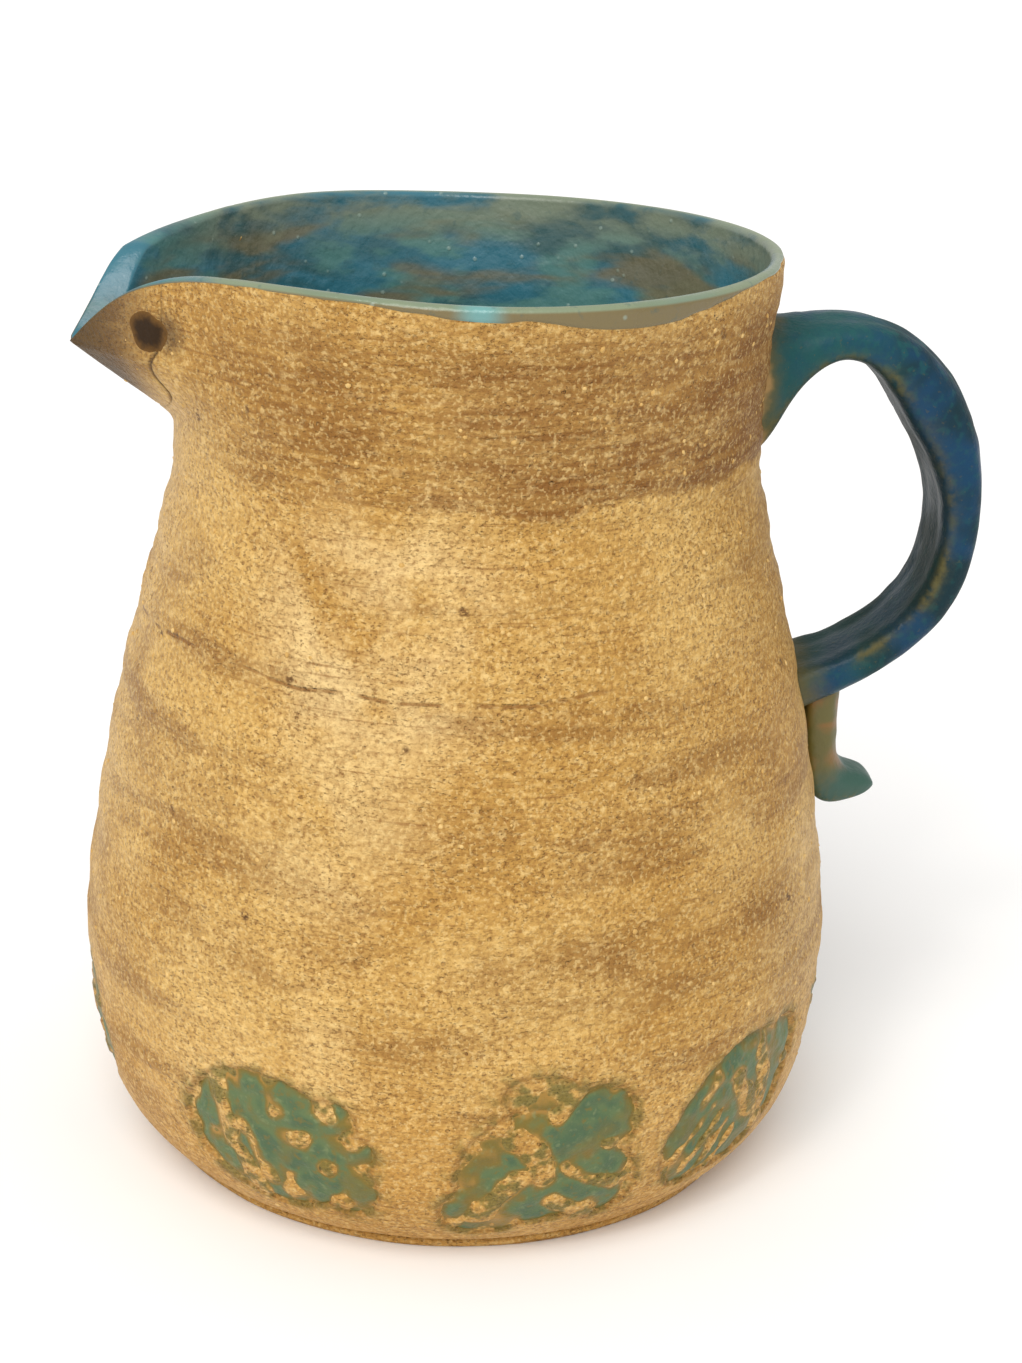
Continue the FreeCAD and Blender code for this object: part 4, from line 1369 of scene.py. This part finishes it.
@dataclass(frozen=True)
class ClayFinish:
    """Bare buff stoneware: brushed washes, brown pits, rough grain and stained edges, with painted highlights
    on the lit front-left, painted micro-shade in the grain and painted shade along the stamp outlines and
    under the beak.
    """

    pale: Colour = tone(212, 171, 96)
    buff: Colour = tone(190, 145, 70)
    orange: Colour = tone(202, 152, 74)
    wash: Colour = tone(126, 81, 22)
    pit: Colour = tone(130, 84, 30)
    iron: Colour = tone(62, 42, 24)
    rust: Colour = tone(98, 64, 24)
    moss: Colour = tone(98, 94, 38)
    # Colour of the painted shade under the beak's keel.
    keel_shade: Colour = tone(78, 57, 22)
    glint: Colour = tone(228, 197, 134)
    # The wash patches are darker clay; the pale patches on the front-left, towards the light, are painted
    # highlights.
    wash_and_highlight_patches: tuple[Patch, ...] = (
        Patch((-42, -66, 44), 34, 0.50, tone(236, 200, 130)), Patch((62, -50, 58), 24, 0.26, wash),
        Patch((-66, -30, 112), 26, 0.48, wash), Patch((-24, -66, 130), 36, 0.75, tone(236, 206, 146)),
        Patch((-30, -72, 92), 26, 0.45, tone(232, 200, 136)))
    washes: tuple[tuple[float, float, float], ...] = (
        (114.5, 6.0, 0.42), (68.0, 6.5, 0.40), (93.0, 9.0, 0.30))
    scratch_level: float = 120.0
    eye_points: tuple[tuple[float, float, float], ...] = ((-62.6, -27.2, 176.0), (-62.6, 27.2, 176.0))

    def make(self) -> bpy.types.Material:
        """Makes the clay."""
        bench = Bench("bare_clay_finish")
        level = bench.level()
        around = bench.stretched((1, 1, 5.0))
        drawn = bench.stretched((0.5, 0.5, 6.0))
        cloud = bench.noise(bench.place, 38, 3)
        bench.begin(bench.rise(cloud, 0.36, 0.64), self.buff, self.pale)
        bench.coat(self.orange, bench.rise(level, 62, 12, 0.75))
        streak = bench.noise(around, 44, 4, 0.4)
        fine_streak = bench.noise(drawn, 9, 3)
        patch = bench.noise(bench.place, 24, 3, 0.6)
        body = bench.both(bench.rise(streak, 0.5, 0.68, 0.5), bench.rise(level, 8, 40),
                          bench.rise(level, 148, 132))
        bench.coat(self.wash, body)
        for middle, spread, strength in self.washes:
            away = bench.apart(level, middle)
            near = bench.both(bench.rise(away, spread, 0, strength), bench.rise(patch, 0.44, 0.60))
            bench.coat(self.wash, near)
        edge = bench.swayed(level, bench.noise(bench.place, 21, 3), 11.0)
        collar = bench.both(bench.rise(edge, 156.5, 158.3), bench.rise(level, 193, 176, 0.95),
                            bench.rise(bench.axis("X"), -66, -38))
        worn = bench.sum("ADD", bench.rise(patch, 0.30, 0.58, 0.42), 0.08)
        worn = bench.sum("ADD", worn, bench.rise(bench.axis("X"), -45, 55, 0.32))
        worn = bench.sum("ADD", worn, bench.rise(fine_streak, 0.40, 0.62, 0.34))
        bench.coat(self.wash, bench.both(collar, worn))
        # Soft patches: darker wash, and painted highlights on the lit front-left.
        for spot in self.wash_and_highlight_patches:
            fading = bench.rise(bench.away(spot.middle), spot.reach, spot.reach * 0.3, spot.strength)
            near = bench.both(fading, bench.rise(patch, 0.34, 0.56))
            bench.coat(spot.tint, near)
        drag = bench.both(bench.rise(bench.noise(bench.stretched((0.25, 0.25, 8.0)), 6, 3), 0.58, 0.70, 0.5),
                          bench.rise(cloud, 0.62, 0.44))
        bench.coat(self.pit, drag)

        grain = bench.noise(bench.stretched((0.8, 0.8, 1.35)), 0.66, 2)
        coarse = bench.noise(bench.stretched((0.7, 0.7, 1.2)), 1.5, 4)
        thick = bench.noise(bench.place, 13, 2)
        bench.coat(self.pit, bench.rise(coarse, 0.36, 0.66, 0.28))
        bench.coat(self.glint, bench.rise(coarse, 0.50, 0.32, 0.28))
        # Fine darker and paler speckle: partly the clay's own grain, partly painted micro-shade and
        # micro-highlight in place of relief.
        grain_and_micro_shade = bench.noise(bench.place, 0.8, 1)
        bench.coat(self.pit, bench.rise(grain_and_micro_shade, 0.54, 0.70, 0.34))
        bench.coat(self.glint, bench.rise(grain_and_micro_shade, 0.46, 0.30, 0.42))
        pits = bench.both(bench.rise(grain, 0.54, 0.70), bench.rise(thick, 0.12, 0.62, 0.62))
        bench.coat(self.pit, pits)
        dots = bench.rise(bench.cells(bench.place, 2.3), 0.22, 0.12, 0.40)
        bench.coat(self.pit, dots)
        specks = bench.both(bench.rise(bench.cells(bench.place, 15.0), 0.085, 0.040, 0.9),
                            bench.rise(grain, 0.36, 0.50))
        bench.coat(self.rust, specks)
        bench.coat(self.iron, bench.sum("MULTIPLY", bench.kept("crack"), 0.85))
        # Painted shade along the stamp outlines, in the wash colour.
        bench.coat(self.wash, bench.sum("MULTIPLY", bench.kept("brink"), 0.55))
        wander = bench.swayed(level, bench.noise(bench.place, 26, 2), 5.0)
        line = bench.rise(bench.apart(wander, self.scratch_level), 0.55, 0.12)
        scratch = bench.both(line, bench.rise(bench.axis("X"), 26, 16), bench.rise(bench.axis("Y"), 0, -10),
                             bench.rise(bench.noise(bench.place, 7, 2), 0.38, 0.52, 0.75))
        bench.coat(self.pit, scratch)

        stained = bench.both(bench.kept("pressed"),
                             bench.rise(bench.noise(bench.place, 3.2, 2), 0.42, 0.60, 0.8))
        bench.coat(self.moss, stained)
        beak = bench.both(bench.rise(bench.axis("X"), -58, -71), bench.rise(level, 154, 162))
        bench.coat(self.rust, bench.both(beak, bench.rise(fine_streak, 0.05, 0.45, 0.85)))
        # Painted shade on the keel under the beak, strongest at its middle.
        under = bench.both(bench.rise(bench.sum("ABSOLUTE", bench.axis("Y")), 18, 4, 0.88), beak)
        bench.coat(self.keel_shade, under)
        for point in self.eye_points:
            bench.coat(self.iron, bench.rise(bench.away(point), 7.8, 3.4, 0.85))
        bench.gloss(bench.rise(cloud, 0.35, 0.65), 0.62, 0.46, 0.30)
        rough = bench.noise(bench.place, 0.8, 3)
        bench.bumped((bench.noise(bench.stretched((0.15, 0.15, 3.0)), 2.6, 3), 0.28), (coarse, -0.50),
                     (pits, -0.22), (dots, -0.30), (scratch, -0.30), (rough, 0.62))
        return bench.done()


@dataclass(frozen=True)
class LinerFinish:
    """The inside glaze: blue and teal where it lies thick, olive brown where it broke thin."""

    blue: Colour = tone(50, 108, 124)
    teal: Colour = tone(78, 124, 116)
    deep: Colour = tone(42, 84, 88)
    olive: Colour = tone(110, 98, 64)
    washed: Colour = tone(130, 132, 106)
    lip: Colour = tone(126, 138, 108)
    bright: Colour = tone(96, 172, 178)
    crumb: Colour = tone(150, 170, 158)
    worn: Colour = tone(112, 92, 52)
    # Middle of the bright dab at the front lip: partly a copper flush, partly a painted highlight.
    flush_highlight_point: tuple[float, float, float] = (-4.0, -60.5, 188.5)

    def make(self) -> bpy.types.Material:
        """Makes the inside glaze."""
        bench = Bench("inside_glaze_finish")
        inside = bench.kept("inside")
        banded = bench.stretched((1, 1, 2.6))
        broad = bench.noise(banded, 34, 3, 0.5)
        middle = bench.noise(banded, 17, 4, 0.4)
        fine = bench.noise(bench.place, 2.4, 4)
        bench.begin(bench.rise(broad, 0.38, 0.62), self.blue, self.deep)
        bench.coat(self.teal, bench.rise(middle, 0.46, 0.62, 0.75))
        thin = bench.both(bench.rise(bench.noise(bench.stretched((1, 1, 4.2)), 30, 3, 0.2), 0.46, 0.64, 0.80),
                          bench.rise(inside, 0.0, 0.06))
        bench.coat(self.olive, thin)
        body = bench.rise(bench.axis("X"), -62, -44)
        near_lip = bench.both(bench.rise(inside, 0.10, 0.0), bench.rise(middle, 0.34, 0.58, 0.70), body)
        bench.coat(self.washed, near_lip)
        bench.coat(self.lip, bench.both(bench.rise(inside, -0.26, -0.52, 0.80), body))
        bench.coat(self.worn, bench.rise(inside, -0.80, -0.92, 0.85))
        # A small bright turquoise dab at the lip: partly a copper flush, partly a painted highlight.
        flush_and_highlight = bench.both(bench.rise(inside, 0.03, 0.0),
                           bench.rise(bench.away(self.flush_highlight_point), 6.0, 1.0, 0.6))
        bench.coat(self.bright, flush_and_highlight)
        bench.coat(self.deep, bench.rise(fine, 0.60, 0.72, 0.35))
        crumbs = bench.rise(bench.cells(bench.place, 4.6), 0.14, 0.04, 0.45)
        bench.coat(self.crumb, crumbs)
        bench.gloss(bench.rise(middle, 0.35, 0.65), 0.24, 0.42, 0.5)
        bench.bumped((bench.noise(bench.place, 4.0, 3), 0.35), (fine, 0.16), (crumbs, 0.20))
        return bench.done()


@dataclass(frozen=True)
class HandleFinish:
    """The handle's dark blue glaze, worn olive on its ridges and bare near the wall, with painted shade on
    its inner face.
    """

    blue: Colour = tone(8, 56, 86)
    deep: Colour = tone(10, 42, 50)
    shade: Colour = tone(18, 38, 34)
    teal: Colour = tone(22, 78, 78)
    olive: Colour = tone(92, 84, 44)
    bare: Colour = tone(176, 136, 82)

    def make(self) -> bpy.types.Material:
        """Makes the handle's glaze."""
        bench = Bench("handle_glaze_finish")
        cloud = bench.noise(bench.place, 15, 3, 0.3)
        fine = bench.noise(bench.place, 2.1, 4)
        speck = bench.noise(bench.place, 0.9, 2)
        bench.begin(bench.rise(cloud, 0.38, 0.62), self.blue, self.deep)
        high = bench.rise(bench.swayed(bench.level(), cloud, 30), 172, 192)
        inward = bench.rise(bench.axis("X"), 92, 76)
        bench.coat(self.teal, bench.both(inward, bench.rise(cloud, 0.25, 0.55, 0.8)))
        bench.coat(self.teal, bench.both(high, bench.rise(fine, 0.45, 0.62, 0.5)))
        bench.coat(self.teal, bench.rise(fine, 0.50, 0.66, 0.35))
        # Painted shade on the handle's inner face, towards the wall.
        bench.coat(self.shade, bench.sum("MULTIPLY", bench.kept("hollow"), 0.65))
        edge = bench.both(bench.kept("edge"), bench.rise(fine, 0.25, 0.6),
                          bench.rise(cloud, 0.30, 0.62, 0.8))
        bench.coat(self.olive, edge)
        along = bench.kept("along")
        ragged = bench.swayed(along, bench.noise(bench.place, 7, 4), 0.07)
        for low, high in ((0.09, 0.05), (0.975, 1.02)):
            bench.coat(self.olive, bench.rise(ragged, low, high, 0.8))
        bench.coat(self.bare, bench.rise(ragged, 0.062, 0.038, 0.75))
        bench.coat(self.olive, bench.rise(speck, 0.64, 0.74, 0.25))
        bench.gloss(bench.rise(cloud, 0.35, 0.65), 0.42, 0.60, 0.22)
        bench.bumped((bench.noise(bench.place, 3.0, 3), 0.30), (speck, 0.16))
        return bench.done()


@dataclass(frozen=True)
class TailFinish:
    """The tail's glaze: brown and olive on the strip, teal on the toe."""

    brown: Colour = tone(126, 88, 34)
    olive: Colour = tone(92, 86, 38)
    teal: Colour = tone(44, 80, 68)

    def make(self) -> bpy.types.Material:
        """Makes the tail's glaze."""
        bench = Bench("tail_glaze_finish")
        cloud = bench.noise(bench.place, 8, 3, 0.4)
        fine = bench.noise(bench.place, 1.8, 3)
        bench.begin(bench.rise(cloud, 0.40, 0.60), self.brown, self.olive)
        toe = bench.swayed(bench.kept("along"), cloud, 0.22)
        bench.coat(self.teal, bench.rise(toe, 0.66, 0.84))
        top = bench.both(bench.rise(toe, 0.24, 0.12, 0.8), bench.rise(fine, 0.35, 0.6))
        bench.coat(self.teal, top)
        worn = bench.both(bench.kept("edge"), bench.rise(fine, 0.42, 0.64, 0.7))
        bench.coat(self.olive, worn)
        bench.gloss(cloud, 0.36, 0.56)
        bench.bumped((fine, 0.25),)
        return bench.done()


@dataclass(frozen=True)
class StampFinish:
    """Copper glaze in the stamps: sea green where it pooled, olive where it is thin."""

    green: Colour = tone(88, 106, 66)
    deep: Colour = tone(60, 88, 62)
    olive: Colour = tone(116, 98, 34)
    stained: Colour = tone(160, 120, 52)
    milk: Colour = tone(124, 134, 92)

    def make(self) -> bpy.types.Material:
        """Makes the stamp glaze."""
        bench = Bench("stamp_glaze_finish")
        pooled = bench.kept("pooled")
        cloud = bench.noise(bench.place, 7, 3, 0.4)
        fine = bench.noise(bench.place, 1.5, 4)
        depth = bench.swayed(pooled, bench.sum("SUBTRACT", cloud, 0.5), 0.9)
        bench.begin(bench.rise(depth, -0.10, 0.20), self.stained, self.olive)
        bench.coat(self.green, bench.rise(depth, 0.16, 0.55))
        bench.coat(self.deep, bench.rise(depth, 0.55, 0.95, 0.7))
        bench.coat(self.milk, bench.rise(fine, 0.56, 0.72, 0.45))
        bench.coat(self.olive, bench.rise(fine, 0.46, 0.30, 0.65))
        broad = bench.noise(bench.place, 11, 2)
        bench.coat(self.olive, bench.rise(broad, 0.50, 0.64, 0.55))
        bench.gloss(cloud, 0.34, 0.54, 0.35)
        bench.bumped((bench.noise(bench.place, 2.6, 3), 0.50), (fine, 0.22))
        return bench.done()


@dataclass(frozen=True)
class IronFinish:
    """The iron oxide dab of an eye, matt and nearly black, thinning at its rim."""

    core: Colour = tone(50, 35, 20)
    thin: Colour = tone(108, 76, 36)

    def make(self) -> bpy.types.Material:
        """Makes the iron oxide."""
        bench = Bench("iron_spot_finish")
        fine = bench.noise(bench.place, 1.2, 3)
        spread = bench.swayed(bench.kept("spread"), fine, 0.5)
        bench.begin(bench.rise(spread, 0.72, 1.25, 0.9), self.core, self.thin)
        bench.gloss(fine, 0.7, 0.9, 0.15)
        bench.bumped((fine, 0.25),)
        return bench.done()


@dataclass(frozen=True)
class GrainFinish:
    """Pale fired grog."""

    pale: Colour = tone(216, 180, 112)
    buff: Colour = tone(196, 154, 82)

    def make(self) -> bpy.types.Material:
        """Makes the grog's finish."""
        bench = Bench("grog_finish")
        cloud = bench.noise(bench.place, 3.0, 2)
        bench.begin(bench.rise(cloud, 0.4, 0.6), self.pale, self.buff)
        bench.gloss(cloud, 0.42, 0.60)
        bench.bumped((bench.noise(bench.place, 0.4, 2), 0.1),)
        return bench.done()


# ---------------------------------------------------------------- the studio

@dataclass
class Studio:
    """A white table, soft lamps and the camera: degrees and millimetres, with the lamps in metres."""

    aim: tuple[float, float, float] = (10.35, -1.2, 97.5)
    azimuth: float = 6.609
    elevation: float = 20.477
    roll: float = 1.832
    distance: float = 526.5
    lens: float = 65.99
    sensor: float = 36.0
    table_half: float = 7000.0
    sky: float = 0.76
    sun: float = 1.75
    sun_spread: float = 42.0
    glint: float = 1.6
    lamp_size: float = 0.16
    window_place: tuple[float, float, float] = (-0.30, -0.76, 1.08)
    lamp_place: tuple[float, float, float] = (-0.45, -0.80, 0.95)
    lamp_aim: tuple[float, float, float] = (0, 0, 0.1)
    sky_tint: Colour = (1.0, 0.995, 0.985)
    window_tint: Colour = (1.0, 0.985, 0.96)
    lamp_tint: Colour = (1.0, 0.97, 0.92)

    def camera(self) -> None:
        """Sets up the camera."""
        turn, tilt, roll = map(math.radians, (self.azimuth, self.elevation, self.roll))
        forward = Vector((math.sin(turn) * math.cos(tilt), math.cos(turn) * math.cos(tilt), -math.sin(tilt)))
        level_right = Vector((math.cos(turn), -math.sin(turn), 0))
        level_up = level_right.cross(forward)
        right = level_right * math.cos(roll) + level_up * math.sin(roll)
        up = right.cross(forward)
        data = bpy.data.cameras.new("camera")
        data.sensor_width = self.sensor
        data.lens = self.lens
        data.clip_start = 0.02
        data.clip_end = 40.0
        camera = linked(bpy.data.objects.new("camera", data))
        place = (Vector(self.aim) - forward * self.distance) * MM
        camera.matrix_world = Matrix((
            (right.x, up.x, -forward.x, place.x), (right.y, up.y, -forward.y, place.y),
            (right.z, up.z, -forward.z, place.z), (0, 0, 0, 1)))
        bpy.context.scene.camera = camera

    def table(self) -> None:
        """Lays the plain pale table."""
        half = self.table_half * MM
        mesh = bpy.data.meshes.new("table")
        corners = [(-half, -half, 0), (half, -half, 0), (half, half, 0), (-half, half, 0)]
        mesh.from_pydata(corners, [], [(0, 1, 2, 3)])
        table = linked(bpy.data.objects.new("table", mesh))
        bench = Bench("table_white")
        faint = bench.noise(bench.place, 60, 2)
        bench.shader.inputs["Roughness"].default_value = 0.9
        bench.shader.inputs["Specular IOR Level"].default_value = 0.1
        bench.begin(faint, tone(247, 247, 247), tone(249, 249, 249))
        table.data.materials.append(bench.done())

    def hang(self, name: str, light: bpy.types.Light, place: tuple[float, float, float]) -> None:
        """Hangs a light so that it faces the pot."""
        lamp = linked(bpy.data.objects.new(name, light))
        lamp.location = place
        toward = Vector(self.lamp_aim) - Vector(place)
        lamp.rotation_euler = toward.to_track_quat("-Z", "Y").to_euler()

    def light(self) -> None:
        """Lights the pot softly from the upper left."""
        world = bpy.data.worlds.new("soft_sky")
        world.use_nodes = True
        backdrop = next(n for n in world.node_tree.nodes if n.type == "BACKGROUND")
        backdrop.inputs["Color"].default_value = (*self.sky_tint, 1.0)
        backdrop.inputs["Strength"].default_value = self.sky
        bpy.context.scene.world = world
        bpy.context.scene.view_settings.view_transform = "Standard"
        window = bpy.data.lights.new("window", "SUN")
        window.energy = self.sun
        window.angle = math.radians(self.sun_spread)
        window.color = self.window_tint
        self.hang("window", window, self.window_place)
        lamp = bpy.data.lights.new("lamp", "AREA")
        lamp.size = self.lamp_size
        lamp.energy = self.glint
        lamp.color = self.lamp_tint
        self.hang("lamp", lamp, self.lamp_place)

    def build(self) -> None:
        """Sets up the whole studio."""
        self.camera()
        self.table()
        self.light()


# ---------------------------------------------------------------- the whole pitcher

@dataclass
class Pitcher:
    """The finished pitcher: every piece with its finish and the node it stands for."""

    body: str = "root"
    placed: list[bpy.types.Object] = field(default_factory=list)

    def place(self, piece: bpy.types.Object, finish: bpy.types.Material | None, slot: str,
              *nodes: str) -> None:
        """Dresses a piece and ties it to the frame.

        Args:
            piece: the finished mesh.
            finish: its material, or None where it has one already.
            slot: the record's material slot; not used.
            nodes: the CAD nodes that it stands for.
        """
        if finish is not None:
            piece.data.materials.clear()
            piece.data.materials.append(finish)
        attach(piece, self.body)
        if nodes:
            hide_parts(*nodes)
        self.placed.append(piece)
        LOG.info("%s: %d faces, stands for %s", piece.name, len(piece.data.polygons),
                 ", ".join(nodes) or "itself")

    def build(self) -> None:
        """Builds the pieces in order."""
        clay = ClayFinish().make()
        copper = StampFinish().make()
        iron = IronFinish().make()
        self.place(Slab().build(), clay, "bare_clay", "base_slab")
        self.place(Wall().build(), clay, "bare_clay", "body_wall")
        self.place(Beak().build(), clay, "bare_clay", "spout")
        self.place(Liner().build(), LinerFinish().make(), "inside_glaze", "liner_glaze")
        self.place(Strap("handle_strap_clay", HANDLE_STATIONS).build(), HandleFinish().make(),
                   "handle_glaze", "handle_strap")
        tail = Strap("handle_tail_clay", TAIL_STATIONS, rows=70, columns=64, channel=0.1, seed=61)
        self.place(tail.build(), TailFinish().make(), "handle_glaze", "handle_tail")
        numbers = stamp_node_numbers()
        for index in range(len(STAMPS.order)):
            self.place(StampPool(index).build(), copper, "stamp_glaze", f"stamp_glaze_{numbers[index]}")
        for side in (1, -1):
            self.place(EyeSpot(side).build(), iron, "iron_spot",
                       nearest_node(("eye_spot_left", "eye_spot_right"), -side))
        self.place(Grog().build(GrainFinish().make()), None, "bare_clay")


def middle_of(node: str) -> Vector:
    """Middle of a CAD node's box, in metres."""
    low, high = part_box(node)
    return (Vector(low) + Vector(high)) / 2


def nearest_node(nodes: tuple[str, ...], side: int) -> str:
    """The node that lies on one side of the middle plane: -1 for the near side, 1 for the far one."""
    return max(nodes, key=lambda node: middle_of(node).y * side)


def stamp_node_numbers() -> list[int]:
    """For each stamp in the row, the number of the CAD node that lies nearest to it."""
    total = len(STAMPS.order)
    found = []
    for turn in STAMPS.turns():
        spot = Vector((-math.cos(turn), -math.sin(turn))) * STAMPS.scale_radius * MM
        found.append(min(range(1, total + 1),
                         key=lambda number: (middle_of(f"stamp_glaze_{number}").xy - spot).length))
    return found


def main() -> None:
    """Builds the studio and the pitcher."""
    logging.basicConfig(level=logging.INFO, format="%(message)s")
    Studio().build()
    pitcher = Pitcher()
    pitcher.build()
    LOG.info("%d pieces placed", len(pitcher.placed))


if __name__ == "__main__":
    main()
